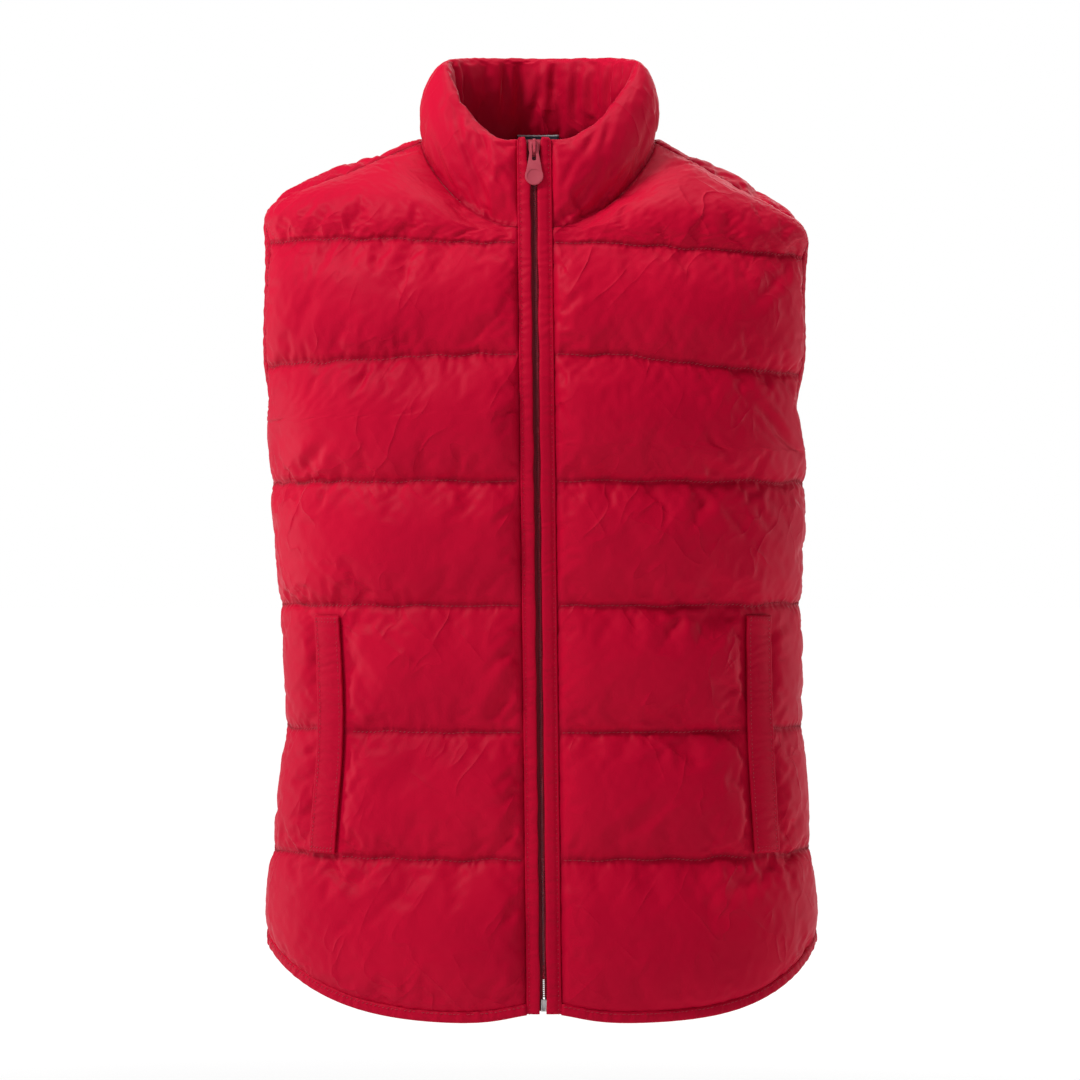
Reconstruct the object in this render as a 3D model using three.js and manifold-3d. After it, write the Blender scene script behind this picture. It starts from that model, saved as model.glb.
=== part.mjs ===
// A quilted, filled vest: stand collar, full front zip, two welt pockets and a curved hem.
// Millimetres, +Z up. The wearer faces -Y, so the wearer's right side is at -X.
// The origin lies midway between the two shoulders, beside the neck, where the wearer carries the vest.
// The vest keeps the hollow form that it has when it is worn.
import * as THREE from "three";
import { mergeVertices } from "three/addons/utils/BufferGeometryUtils.js";
import Module from "manifold-3d";

const wasm = await Module();
wasm.setup();

const RIGHT = -1;
const LEFT = 1;

// Cloth and gaps
const SEAM_GAP = 0.2; // each panel stops this far from a seam line
const WALL = 2.5; // shell, filling and backing together where they are stitched flat
const LINING_GAP = 0.7;
const LINING = 0.8;
const LAID_ON_GAP = 0.4; // between a panel and what lies on it
const STRIP_GAP = 0.5; // between a panel's edge line and the strip that binds it

// Form of the wall's inner face: half widths to each side, and depths in front and behind
const FORM = [
  { z: -700, right: 210, left: 216, front: 134, back: 124 },
  { z: -640, right: 212, left: 218, front: 134, back: 122 },
  { z: -556, right: 207, left: 213, front: 130, back: 112 },
  { z: -459, right: 197, left: 207, front: 125, back: 103 },
  { z: -362, right: 201, left: 205, front: 128, back: 108 },
  { z: -267, right: 208, left: 208, front: 133, back: 123 },
  { z: -212, right: 209, left: 204, front: 134, back: 131 },
  { z: -171, right: 219, left: 214, front: 130, back: 133 },
  { z: -125, right: 221, left: 215, front: 122, back: 130 },
  { z: -80, right: 219, left: 214, front: 112, back: 122 },
  { z: -40, right: 214, left: 210, front: 101, back: 112 },
];
const SQUARENESS = 2.35; // 2 is an ellipse, and more is squarer

// Stitched quilting lines, and how far each drops towards the armhole
const LINES = [
  { z: -556, dropRight: 0, dropLeft: 0 },
  { z: -459, dropRight: 0, dropLeft: 0 },
  { z: -362, dropRight: 0, dropLeft: 0 },
  { z: -267, dropRight: 0, dropLeft: 0 },
  { z: -171, dropRight: 4, dropLeft: 11 },
  { z: -85, dropRight: -6, dropLeft: 5 },
];
const YOKE = { z: -73, dropRight: -9, dropLeft: 6 }; // where the panels start to turn over the shoulder
const YOKE_ROW = 6.2; // its place between line 6 and the shoulder seam, at 7
const TOP_ROW = 7;

// Crown of each filled channel above the stitched wall, from the hem up
const CROWNS = [11.5, 10.5, 10.5, 11.5, 12, 11, 9.5];
const CROWN_SHAPE = 0.72;
const CROWN_EDGE = 24; // the filling reaches its height this far from an edge
const NECK_REACH = 34; // and this far from the front neckline
const NECK_SAMPLES = 24;
const SIDE_SEAM_CROWN = 0.12; // share of the crown that is left on the side seam
const SIDE_SEAM_REACH = 95; // and how far from the seam the crown is whole again

// Hem: the finished edge at the sides and at its lowest, and the narrow band along it
const HEM_SIDE = -631;
const HEM_LOW = -680;
const HEM_ZIP_LIFT = 8;
const HEM_ZIP_REACH = 34;
const HEM_ROUNDNESS = { right: 4, left: 5.2 };
const HEM_BAND = 8;

// Armholes in the side view: the panels' edge, before the binding
const ARMHOLE = {
  right: { top: -47, bottom: -219, front: 50, back: 62 },
  left: { top: -61, bottom: -243, front: 50, back: 62 },
};
const ARMHOLE_ROUNDNESS = 2.4;
const BINDING = 7;

// Neck and shoulders
const NECK_POINT = { x: 92, y: -26, z: 0.5 };
const NECK_BACK = { y: 64, z: 13 };
const SHOULDER_TIP = { right: { x: 208, y: -15, z: -50 }, left: { x: 205, y: -15, z: -65 } };
const SHOULDER_RISE = { right: 1.5, left: 2.5 };
const NECK_SHARE = 0.43; // share of the back's half width that is neckline

// Zip and its plackets
const ZIP_TOP_X = -3;
const ZIP_LEAN = 8 / 690; // the zip runs a little towards the wearer's left as it goes down
const PANEL_EDGE = 13;
const PLACKET_INNER = 2.6;
const PLACKET_OUTER = 12.6;
const PLACKET_THICK = 4.4;
const PLACKET_SPREAD = 3; // the plackets part round the slider
const TAPE_THICK = 0.8;
const CHAIN_HALF = 2.2;
const CHAIN_THICK = 2.2;
const ZIP_TOP = -2;
const ZIP_BOTTOM = -672;
const COLLAR_LEAN = 0.15;
const PULL_PIVOT_Z = -7;

// Collar
const COLLAR_HEIGHT = { front: 70, side: 67, back: 67 };

// Pocket welts: the panel columns that they lie on, and their ends
const WELT = { right: { from: 0.555, to: 0.645 }, left: { from: 0.575, to: 0.665 } };
const WELT_TOP_ROW = 2.92;
const WELT_BOTTOM_ROW = 1.02;
const WELT_THICK = 3;
const WELT_BED = 4; // the filling is this high under a welt, also where it crosses a quilting line

const RED = { color: 0xb8082c, roughness: 0.45 };

const { lerp, smoothstep, clamp } = THREE.MathUtils;
const vec = (x, y, z) => new THREE.Vector3(x, y, z);

// Smooth curve through the form table, column by column
function form(z) {
  const last = FORM.length - 2;
  let i = FORM.findIndex((row) => row.z > z) - 1;
  i = clamp(i < -1 ? last : i, 0, last);
  const t = clamp((z - FORM[i].z) / (FORM[i + 1].z - FORM[i].z), -0.5, 1.5);
  const slope = (column, k) => {
    const a = FORM[Math.max(k - 1, 0)];
    const b = FORM[Math.min(k + 1, FORM.length - 1)];
    return (b[column] - a[column]) / (b.z - a.z);
  };
  const span = FORM[i + 1].z - FORM[i].z;
  const made = {};
  for (const column of ["right", "left", "front", "back"]) {
    made[column] = hermite(
      FORM[i][column], slope(column, i) * span, FORM[i + 1][column], slope(column, i + 1) * span, t,
    );
  }
  return made;
}

function hermite(p0, t0, p1, t1, t) {
  const t2 = t * t;
  const t3 = t2 * t;
  return (2 * t3 - 3 * t2 + 1) * p0 + (t3 - 2 * t2 + t) * t0 + (3 * t2 - 2 * t3) * p1 + (t3 - t2) * t1;
}

function hermitePoint(p0, t0, p1, t1, t) {
  return vec(
    hermite(p0.x, t0.x, p1.x, t1.x, t),
    hermite(p0.y, t0.y, p1.y, t1.y, t),
    hermite(p0.z, t0.z, p1.z, t1.z, t),
  );
}

// A point of the form at a height; angle 0 is in front, and a positive angle goes to the wearer's left
function formPoint(angle, z) {
  const f = form(z);
  const s = Math.sin(angle);
  const c = Math.cos(angle);
  const half = s < 0 ? f.right : f.left;
  const depth = c > 0 ? f.front : f.back;
  const r = (Math.abs(s / half) ** SQUARENESS + Math.abs(c / depth) ** SQUARENESS) ** (-1 / SQUARENESS);
  return vec(r * s, -r * c, z);
}

// The angle at which the form has a given x in front, or a given y at one side
function angleAtX(x, z) {
  const f = form(z);
  const half = x < 0 ? f.right : f.left;
  const y = -f.front * (1 - Math.abs(x / half) ** SQUARENESS) ** (1 / SQUARENESS);
  return Math.atan2(x, -y);
}

function angleAtY(y, z, side) {
  const f = form(z);
  const half = side < 0 ? f.right : f.left;
  const depth = y < 0 ? f.front : f.back;
  const x = half * (1 - Math.abs(y / depth) ** SQUARENESS) ** (1 / SQUARENESS);
  return Math.atan2(side * x, -y);
}

const zipX = (z) => ZIP_TOP_X - ZIP_LEAN * z;

// The finished hem: high at the sides, low in front and behind, lifted a little at the zip
function hemZ(angle) {
  const p = formPoint(angle, HEM_SIDE);
  const f = form(HEM_SIDE);
  const share = clamp(Math.abs(p.x) / (p.x < 0 ? f.right : f.left), 0, 1);
  const lift = p.y < 0 ? HEM_ZIP_LIFT * Math.exp(-(((p.x - zipX(HEM_LOW)) / HEM_ZIP_REACH) ** 2)) : 0;
  const roundness = p.x < 0 ? HEM_ROUNDNESS.right : HEM_ROUNDNESS.left;
  return lerp(HEM_SIDE, HEM_LOW, 1 - share ** roundness) + lift;
}

// Height of a row of the panels at an angle: row 0 is the hem, and rows 1 to 6 are the quilting lines
function rowZ(row, angle) {
  const share = Math.abs(Math.sin(angle));
  const outward = smoothstep(share, 0.35, 1);
  const height = (line) => line.z - outward * (Math.sin(angle) < 0 ? line.dropRight : line.dropLeft);
  if (row <= 1) return lerp(hemZ(angle) + HEM_BAND, height(LINES[0]), row);
  if (row <= 6) {
    const i = Math.min(Math.floor(row), 5);
    return lerp(height(LINES[i - 1]), height(LINES[i]), row - i);
  }
  return lerp(height(LINES[5]), height(YOKE), (row - 6) / (YOKE_ROW - 6));
}

// Where a row ends: on the side seam below the armhole, and on the armhole's edge above its bottom
function rowEnd(row, side, isBack) {
  const hole = side < 0 ? ARMHOLE.right : ARMHOLE.left;
  const z = rowZ(row, (side * Math.PI) / 2);
  if (row <= 1 || z <= hole.bottom) return (side * Math.PI) / 2;
  const middle = (hole.top + hole.bottom) / 2;
  const share = clamp(Math.abs(z - middle) / (hole.top - middle), 0, 1);
  const whole = isBack ? hole.back : hole.front;
  const reach = whole * (1 - share ** ARMHOLE_ROUNDNESS) ** (1 / ARMHOLE_ROUNDNESS);
  return angleAtY(isBack ? reach : -reach, z, side);
}

const rowPoint = (row, angle) => formPoint(angle, rowZ(row, angle));

// Half a row between two angles as a curve that is walked by its length
const rowCurves = new Map();
function rowCurve(key, row, from, to) {
  if (!rowCurves.has(key)) {
    const samples = 64;
    const points = [];
    for (let i = 0; i <= samples; i++) {
      points.push(rowPoint(row, lerp(from, to, i / samples)));
    }
    const lengths = [0];
    for (let i = 1; i <= samples; i++) lengths.push(lengths[i - 1] + points[i].distanceTo(points[i - 1]));
    rowCurves.set(key, { points, lengths, total: lengths[samples] });
  }
  return rowCurves.get(key);
}

function alongCurve(curve, share) {
  const at = share * curve.total;
  let i = 1;
  while (i < curve.points.length - 1 && curve.lengths[i] < at) i++;
  const t = (at - curve.lengths[i - 1]) / (curve.lengths[i] - curve.lengths[i - 1]);
  return curve.points[i - 1].clone().lerp(curve.points[i], t);
}

function frontCurve(side, row) {
  const z = rowZ(row, 0);
  const from = angleAtX(zipX(z) + side * PANEL_EDGE, z);
  return rowCurve(`front ${side} ${row}`, row, from, rowEnd(row, side, false));
}

function backCurve(side, row) {
  const end = rowEnd(row, side, true);
  return rowCurve(`back ${side} ${row}`, row, side * Math.PI, end);
}

// The shoulder seam, from the neck (0) to the armhole (1)
function shoulderSeam(side, share) {
  const tip = side < 0 ? SHOULDER_TIP.right : SHOULDER_TIP.left;
  const rise = side < 0 ? SHOULDER_RISE.right : SHOULDER_RISE.left;
  return vec(
    side * lerp(NECK_POINT.x, tip.x, share),
    lerp(NECK_POINT.y, tip.y, share),
    lerp(NECK_POINT.z, tip.z, share) + rise * 4 * share * (1 - share),
  );
}

// The back neckline, from the centre (0) to the neck point (1)
function backNeckline(side, share) {
  return hermitePoint(
    vec(0, NECK_BACK.y, NECK_BACK.z), vec(side * 128, 0, 0),
    vec(side * NECK_POINT.x, NECK_POINT.y, NECK_POINT.z), vec(side * -12, -128, -40), share,
  );
}

// The way in which both panels cross the shoulder seam, towards the back
function acrossShoulder(side, share) {
  return vec(side * lerp(8, 0, share), lerp(120, 44, share), lerp(62, 14, share));
}

// The way a panel leaves its yoke row upwards
function upFromYoke(curveOf, share, length) {
  const low = alongCurve(curveOf(YOKE_ROW - 0.1), share);
  const high = alongCurve(curveOf(YOKE_ROW), share);
  return high.sub(low).setLength(length);
}

// Points of the two kinds of panel on the form; share 0 is the centre and 1 the side
function frontPoint(side, share, row) {
  if (row <= YOKE_ROW) return alongCurve(frontCurve(side, row), share);
  const start = alongCurve(frontCurve(side, YOKE_ROW), share);
  const up = upFromYoke((r) => frontCurve(side, r), share, lerp(95, 26, share));
  up.lerp(vec(side * 122, 15, 0), 1 - smoothstep(share, 0, 0.45));
  const t = (row - YOKE_ROW) / (TOP_ROW - YOKE_ROW);
  return hermitePoint(start, up, shoulderSeam(side, share), acrossShoulder(side, share), t);
}

function backPoint(share, row) {
  const side = share < 0 ? RIGHT : LEFT;
  const out = Math.abs(share);
  if (row <= YOKE_ROW) return alongCurve(backCurve(side, row), out);
  const start = alongCurve(backCurve(side, YOKE_ROW), out);
  const up = upFromYoke((r) => backCurve(side, r), out, lerp(80, 52, smoothstep(out, 0.2, 1)));
  const onShoulder = clamp((out - NECK_SHARE) / (1 - NECK_SHARE), 0, 1);
  const onNeck = clamp(out / NECK_SHARE, 0, 1);
  const end = out < NECK_SHARE ? backNeckline(side, onNeck) : shoulderSeam(side, onShoulder);
  const corner = 1 - smoothstep(onShoulder, 0, 0.75);
  const over = acrossShoulder(side, onShoulder).multiplyScalar(-lerp(1.5, 0.62, corner));
  over.addScaledVector(shoulderSeam(side, 0).sub(shoulderSeam(side, 1)).normalize(), 74 * corner);
  if (out < NECK_SHARE) over.lerp(vec(0, -28, 58), 1 - onNeck);
  const t = (row - YOKE_ROW) / (TOP_ROW - YOKE_ROW);
  return hermitePoint(start, up, end, over, t);
}

// Direction out of the cloth, away from the wearer
function outward(pointAt, share, row, turn) {
  const measured = (r, step) => {
    const along = pointAt(share + step, r).sub(pointAt(share - step, r));
    const up = pointAt(share, Math.min(r + step, TOP_ROW)).sub(pointAt(share, r - step));
    return along.cross(up).multiplyScalar(turn).normalize();
  };
  const blend = smoothstep(row, YOKE_ROW, YOKE_ROW + 0.22);
  if (blend === 1) return measured(row, 0.004);
  const onForm = formNormal(pointAt(share, Math.min(row, YOKE_ROW)));
  if (blend === 0) return onForm;
  return onForm.lerp(measured(Math.max(row, YOKE_ROW + 0.1), 0.02), blend).normalize();
}

function formNormal(p) {
  const angle = Math.atan2(p.x, -p.y);
  const round = formPoint(angle + 0.004, p.z).sub(formPoint(angle - 0.004, p.z));
  const up = formPoint(angle, p.z + 0.5).sub(formPoint(angle, p.z - 0.5));
  return round.cross(up).normalize();
}

// Largest soft folds: where each starts and ends on its panel, its half width and its depth
const FRONT_FOLDS = [
  { side: RIGHT, share: 0.1, row: 1.15, toShare: 0.32, toRow: 1.75, half: 13, depth: 2.4 },
  { side: RIGHT, share: 0.05, row: 2.1, toShare: 0.24, toRow: 2.85, half: 12, depth: 2.2 },
  { side: RIGHT, share: 0.36, row: 2.05, toShare: 0.5, toRow: 2.5, half: 12, depth: 2.4 },
  { side: RIGHT, share: 0.82, row: 4.05, toShare: 0.76, toRow: 4.4, half: 12, depth: 3 },
  { side: RIGHT, share: 0.42, row: 5.6, toShare: 0.38, toRow: 6, half: 10, depth: 2 },
  { side: LEFT, share: 0.62, row: 3.95, toShare: 0.84, toRow: 3.4, half: 13, depth: 3 },
  { side: LEFT, share: 0.64, row: 4.75, toShare: 0.78, toRow: 4.3, half: 13, depth: 2.8 },
  { side: LEFT, share: 0.32, row: 2.1, toShare: 0.56, toRow: 1.5, half: 13, depth: 2.2 },
  { side: LEFT, share: 0.42, row: 3.3, toShare: 0.5, toRow: 3.02, half: 12, depth: 2.4 },
  { side: LEFT, share: 0.44, row: 0.95, toShare: 0.7, toRow: 0.55, half: 13, depth: 2 },
];
const BACK_FOLDS = [
  { share: -0.7, row: 4.6, toShare: -0.45, toRow: 4.15, half: 13, depth: 2.6 },
  { share: 0.62, row: 3.8, toShare: 0.4, toRow: 3.3, half: 13, depth: 2.4 },
  { share: -0.3, row: 1.85, toShare: -0.1, toRow: 1.3, half: 13, depth: 2.2 },
  { share: 0.2, row: 5.7, toShare: 0.42, toRow: 5.2, half: 13, depth: 2.4 },
  { share: -0.55, row: 2.8, toShare: -0.35, toRow: 2.3, half: 13, depth: 2.2 },
  { share: 0.72, row: 0.9, toShare: 0.5, toRow: 0.45, half: 13, depth: 2.2 },
];
const SHARE_LENGTH = 250; // typical length of a panel's row, to measure folds with
const ROW_LENGTH = 96;

function foldDepth(folds, share, row) {
  let depth = 0;
  for (const fold of folds) {
    const ax = (fold.toShare - fold.share) * SHARE_LENGTH;
    const ay = (fold.toRow - fold.row) * ROW_LENGTH;
    const px = (share - fold.share) * SHARE_LENGTH;
    const py = (row - fold.row) * ROW_LENGTH;
    const t = clamp((px * ax + py * ay) / (ax * ax + ay * ay), 0, 1);
    const off = Math.hypot(px - t * ax, py - t * ay) / fold.half;
    depth += fold.depth * Math.exp(-off * off);
  }
  return depth;
}

const quarterRound = (distance, reach) => Math.sqrt(1 - (1 - clamp(distance / reach, 0, 1)) ** 2);

function channelCrown(row) {
  const channel = Math.min(Math.floor(row), CROWNS.length - 1);
  const t = clamp(row - channel, 0, 1);
  return CROWNS[channel] * (4 * t * (1 - t)) ** CROWN_SHAPE;
}

// Share of the crown beside an armhole, whose edge is stitched flat, and beside the side seam below it
function towardsSide(p, side) {
  const hole = side < 0 ? ARMHOLE.right : ARMHOLE.left;
  const half = (hole.top - hole.bottom) / 2;
  const z = p.z - (hole.top + hole.bottom) / 2;
  const across = Math.abs(p.y) / (p.y < 0 ? hole.front : hole.back);
  const powers = across ** ARMHOLE_ROUNDNESS + Math.abs(z / half) ** ARMHOLE_ROUNDNESS;
  const ring = powers ** (1 / ARMHOLE_ROUNDNESS);
  const fromHole = Math.hypot(p.y, z) * (1 - 1 / Math.max(ring, 1));
  const above = smoothstep(p.z - hole.bottom, -40, 40);
  const beside = lerp(SIDE_SEAM_CROWN, 1, smoothstep(Math.abs(p.y), 0, SIDE_SEAM_REACH));
  return lerp(beside, 1, above) * quarterRound(fromHole, CROWN_EDGE);
}

// The neckline's edge rises gently, because the collar's filling meets it
function towardsNeck(p, side) {
  let distance = Infinity;
  for (let i = 0; i <= NECK_SAMPLES; i++) {
    const row = lerp(YOKE_ROW, TOP_ROW, i / NECK_SAMPLES);
    distance = Math.min(distance, p.distanceTo(frontPoint(side, 0, row)));
  }
  return Math.sin((clamp((distance - 1) / NECK_REACH, 0, 1) * Math.PI) / 2);
}

function frontFilling(side, share, row) {
  const low = Math.min(row, YOKE_ROW);
  const { total } = frontCurve(side, low);
  const p = frontPoint(side, share, row);
  const zipEdge = lerp(quarterRound(share * total, CROWN_EDGE), 1, smoothstep(row, 6, YOKE_ROW));
  const below = towardsSide(frontPoint(side, share, low), side);
  const sideEdge = lerp(below, quarterRound((1 - share) * total, CROWN_EDGE), smoothstep(row, 5.3, 6));
  const neckEdge = row > 5 ? towardsNeck(p, side) : 1;
  const crown = channelCrown(row) * zipEdge * sideEdge * neckEdge;
  const folds = FRONT_FOLDS.filter((fold) => fold.side === side);
  const folded = Math.max(crown - foldDepth(folds, share, row) * Math.min(1, crown / 8), 0);
  const { from, to } = side < 0 ? WELT.right : WELT.left;
  const beside = 1 - smoothstep(Math.abs(share - (from + to) / 2), (to - from) / 2, (to - from) / 2 + 0.09);
  const bed = beside * smoothstep(row, 0.8, 1.1) * (1 - smoothstep(row, 2.85, 3.12));
  return WALL + lerp(folded, WELT_BED, bed);
}

function backFilling(share, row) {
  const side = share < 0 ? RIGHT : LEFT;
  const low = Math.min(row, YOKE_ROW);
  const { total } = backCurve(side, low);
  const below = towardsSide(backPoint(share, low), side);
  const above = quarterRound((1 - Math.abs(share)) * total, CROWN_EDGE);
  const crown = channelCrown(row) * lerp(below, above, smoothstep(row, 5.3, 6));
  return WALL + Math.max(crown - foldDepth(BACK_FOLDS, share, row) * Math.min(1, crown / 8), 0);
}

// Triangle list with shared points
class Surface {
  constructor() {
    this.points = [];
    this.faces = [];
  }
  point(p) {
    this.points.push(p.x, p.y, p.z);
    return this.points.length / 3 - 1;
  }
  quad(a, b, c, d) {
    this.faces.push(a, b, c, a, c, d);
  }
  // Joins two lines of places that run the same way; a key measures how far along each place is
  ladder(line, other, key) {
    let i = 0;
    let j = 0;
    while (i < line.length - 1 || j < other.length - 1) {
      const next = i < line.length - 1 ? key(line[i]) + key(line[i + 1]) : Infinity;
      const otherNext = j < other.length - 1 ? key(other[j]) + key(other[j + 1]) : Infinity;
      if (next <= otherNext) this.faces.push(line[i].id, other[j].id, line[++i].id);
      else this.faces.push(line[i].id, other[j].id, other[++j].id);
    }
  }
  geometry() {
    const g = new THREE.BufferGeometry();
    g.setAttribute("position", new THREE.Float32BufferAttribute(this.points, 3));
    g.setIndex(this.faces);
    return g;
  }
}

function addGrid(surface, rows, columns, at, flipped) {
  const place = (row, column) => ({ row, column, id: surface.point(at(column, row)) });
  const grid = rows.map((row) => columns.map((column) => place(row, column)));
  for (let j = 0; j < rows.length - 1; j++) {
    for (let i = 0; i < columns.length - 1; i++) {
      const corners = [grid[j][i], grid[j][i + 1], grid[j + 1][i + 1], grid[j + 1][i]];
      const [a, b, c, d] = corners.map((corner) => corner.id);
      if (flipped) surface.quad(a, d, c, b);
      else surface.quad(a, b, c, d);
    }
  }
  return grid;
}

// The four sides of a grid, one after the other round it, and how far along each its places are
const SIDE_KEYS = [
  (place) => place.column,
  (place) => place.row,
  (place) => -place.column,
  (place) => -place.row,
];

function sidesOf(grid) {
  return [
    grid[0],
    grid.map((line) => line.at(-1)),
    grid.at(-1).toReversed(),
    grid.map((line) => line[0]).toReversed(),
  ];
}

function addLadder(surface, line, other, side, turn) {
  const key = SIDE_KEYS[side];
  if (turn > 0) surface.ladder(line, other, key);
  else surface.ladder(line.toReversed(), other.toReversed(), (place) => -key(place));
}

// A closed wall: a fine outer grid, a plainer inner one, and inside the rim a ring that joins the two
function wall(rows, columns, plainRows, plainColumns, outer, inner, turn) {
  const surface = new Surface();
  const rim = sidesOf(addGrid(surface, rows, columns, outer, turn < 0));
  const plain = sidesOf(addGrid(surface, plainRows, plainColumns, inner, turn > 0));
  const under = new Map();
  const below = (place) => {
    if (under.has(place)) return under.get(place);
    under.set(place, { ...place, id: surface.point(inner(place.column, place.row)) });
    return under.get(place);
  };
  rim.forEach((line, side) => {
    const ring = line.map(below);
    addLadder(surface, line, ring, side, turn);
    addLadder(surface, ring, plain[side], side, turn);
  });
  return surface.geometry();
}

// A closed sheet of even thickness on one grid
function sheet(rows, columns, outer, inner, turn) {
  const surface = new Surface();
  const near = sidesOf(addGrid(surface, rows, columns, outer, turn < 0));
  const far = sidesOf(addGrid(surface, rows, columns, inner, turn > 0));
  near.forEach((line, side) => addLadder(surface, line, far[side], side, turn));
  return surface.geometry();
}

// A closed body through sections of the same number of points
function loft(sections, closed = false) {
  const surface = new Surface();
  const ids = sections.map((section) => section.map((p) => surface.point(p)));
  const count = sections[0].length;
  const last = closed ? sections.length : sections.length - 1;
  for (let j = 0; j < last; j++) {
    const here = ids[j];
    const next = ids[(j + 1) % sections.length];
    for (let i = 0; i < count; i++) {
      const k = (i + 1) % count;
      surface.quad(here[i], here[k], next[k], next[i]);
    }
  }
  if (!closed) {
    for (const [line, flipped] of [[0, true], [sections.length - 1, false]]) {
      const flat = flatten(sections[line]);
      for (const [p, q, r] of THREE.ShapeUtils.triangulateShape(flat, [])) {
        const face = [ids[line][p], ids[line][q], ids[line][r]];
        surface.faces.push(...(flipped ? face.reverse() : face));
      }
    }
  }
  const g = surface.geometry();
  return signedVolume(g) < 0 ? turnedOut(g) : g;
}

// A section's points in its own plane, turned so that its area is positive
function flatten(section) {
  const normal = vec(0, 0, 0);
  section.forEach((p, i) => normal.add(p.clone().cross(section[(i + 1) % section.length])));
  normal.normalize();
  const u = section[1].clone().sub(section[0]).normalize();
  const v = normal.clone().cross(u);
  return section.map((p) => new THREE.Vector2(p.dot(u), p.dot(v)));
}

function signedVolume(g) {
  const p = g.getAttribute("position");
  const index = g.getIndex();
  const corner = (i) => vec(p.getX(index.getX(i)), p.getY(index.getX(i)), p.getZ(index.getX(i)));
  let sum = 0;
  for (let i = 0; i < index.count; i += 3) sum += corner(i).dot(corner(i + 1).cross(corner(i + 2)));
  return sum / 6;
}

function turnedOut(g) {
  const index = Array.from(g.getIndex().array);
  for (let i = 0; i < index.length; i += 3) [index[i + 1], index[i + 2]] = [index[i + 2], index[i + 1]];
  return g.setIndex(index);
}

// Rows of the panels: each channel in five steps, with more round the bottom of an armhole
const CHANNEL_STEPS = [0, 0.09, 0.33, 0.64, 0.91];
const YOKE_STEPS = [0, 0.09, 0.32, 0.45, 0.59, 0.74, 0.86, 0.95];
const ARMHOLE_STEPS = [0, 3, 10, 22];

function armholeRows(side) {
  const hole = side < 0 ? ARMHOLE.right : ARMHOLE.left;
  const at = (side * Math.PI) / 2;
  const low = rowZ(4, at);
  const high = rowZ(5, at);
  return ARMHOLE_STEPS.map((step) => 4 + (hole.bottom + step - low) / (high - low));
}

function panelRows(extra) {
  const plain = [];
  for (let channel = 0; channel < 7; channel++) {
    for (const step of channel < 6 ? CHANNEL_STEPS : YOKE_STEPS) plain.push(channel + step);
  }
  const far = (row) => Number.isInteger(row) || extra.every((e) => Math.abs(e - row) > 0.06);
  return [...plain.filter(far), ...extra, YOKE_ROW, TOP_ROW].sort((a, b) => a - b);
}

const PLAIN_ROWS = [
  0.12, 0.55, 1, 1.5, 2, 2.5, 3, 3.5, 4, 4.3, 4.6, 5, 5.5, 6, YOKE_ROW, 6.38, 6.58, 6.78, 6.94,
];

function frontColumns(side) {
  const { from, to } = side < 0 ? WELT.right : WELT.left;
  return [
    0, 0.035, 0.09, 0.16, 0.235, 0.31, 0.385, 0.46, 0.51,
    from, (from + to) / 2, to, 0.71, 0.77, 0.83, 0.89, 0.95, 1,
  ];
}
const FRONT_PLAIN = [0.03, 0.15, 0.27, 0.39, 0.51, 0.62, 0.73, 0.83, 0.91, 0.965];
const BACK_HALF = [
  0, 0.085, 0.165, 0.235, 0.3, 0.365, NECK_SHARE, 0.5, 0.58, 0.66, 0.74, 0.82, 0.89, 0.95, 1,
];
const BACK_PLAIN_HALF = [0, 0.15, 0.29, NECK_SHARE, 0.56, 0.68, 0.79, 0.89, 0.965];
const bothSides = (half) => [...half.slice(1).toReversed().map((share) => -share), ...half];

// A share or row that stops a seam gap short of its edge
function shortOfEdge(share, length) {
  return Math.sign(share) * Math.min(Math.abs(share), 1 - SEAM_GAP / length);
}
const shortOfTop = (row) => Math.min(row, TOP_ROW - SEAM_GAP / 90);

function frontPanel(side) {
  const edge = (share, row) => shortOfEdge(share, frontCurve(side, Math.min(row, YOKE_ROW)).total);
  const pointAt = (share, row) => frontPoint(side, share, row);
  const offset = (share, row, height) => {
    const s = edge(share, row);
    const r = shortOfTop(row);
    return pointAt(s, r).addScaledVector(outward(pointAt, s, r, side), height);
  };
  return {
    offset,
    filled: (share, row, height) => offset(share, row, frontFilling(side, share, row) + height),
    rows: panelRows(armholeRows(side)),
    columns: frontColumns(side),
    plainColumns: FRONT_PLAIN,
    turn: side,
  };
}

function backPanel() {
  const curveOf = (share, row) => backCurve(share < 0 ? RIGHT : LEFT, Math.min(row, YOKE_ROW));
  const edge = (share, row) => shortOfEdge(share, curveOf(share, row).total);
  const offset = (share, row, height) => {
    const s = edge(share, row);
    const r = shortOfTop(row);
    return backPoint(s, r).addScaledVector(outward(backPoint, s, r, -1), height);
  };
  return {
    offset,
    filled: (share, row, height) => offset(share, row, backFilling(share, row) + height),
    rows: panelRows([...armholeRows(RIGHT), ...armholeRows(LEFT)]),
    columns: bothSides(BACK_HALF),
    plainColumns: bothSides(BACK_PLAIN_HALF),
    turn: -1,
  };
}

const panels = { [RIGHT]: frontPanel(RIGHT), [LEFT]: frontPanel(LEFT), back: backPanel() };

function panelGeometry({ rows, columns, plainColumns, filled, offset, turn }) {
  const outer = (share, row) => filled(share, row, 0);
  const inner = (share, row) => offset(share, row, 0);
  return wall(rows, columns, PLAIN_ROWS, plainColumns, outer, inner, turn);
}

function liningGeometry({ plainColumns, offset, turn }) {
  const outer = (share, row) => offset(share, row, -LINING_GAP);
  const inner = (share, row) => offset(share, row, -LINING_GAP - LINING);
  return sheet(PLAIN_ROWS, plainColumns, outer, inner, turn);
}

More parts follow.
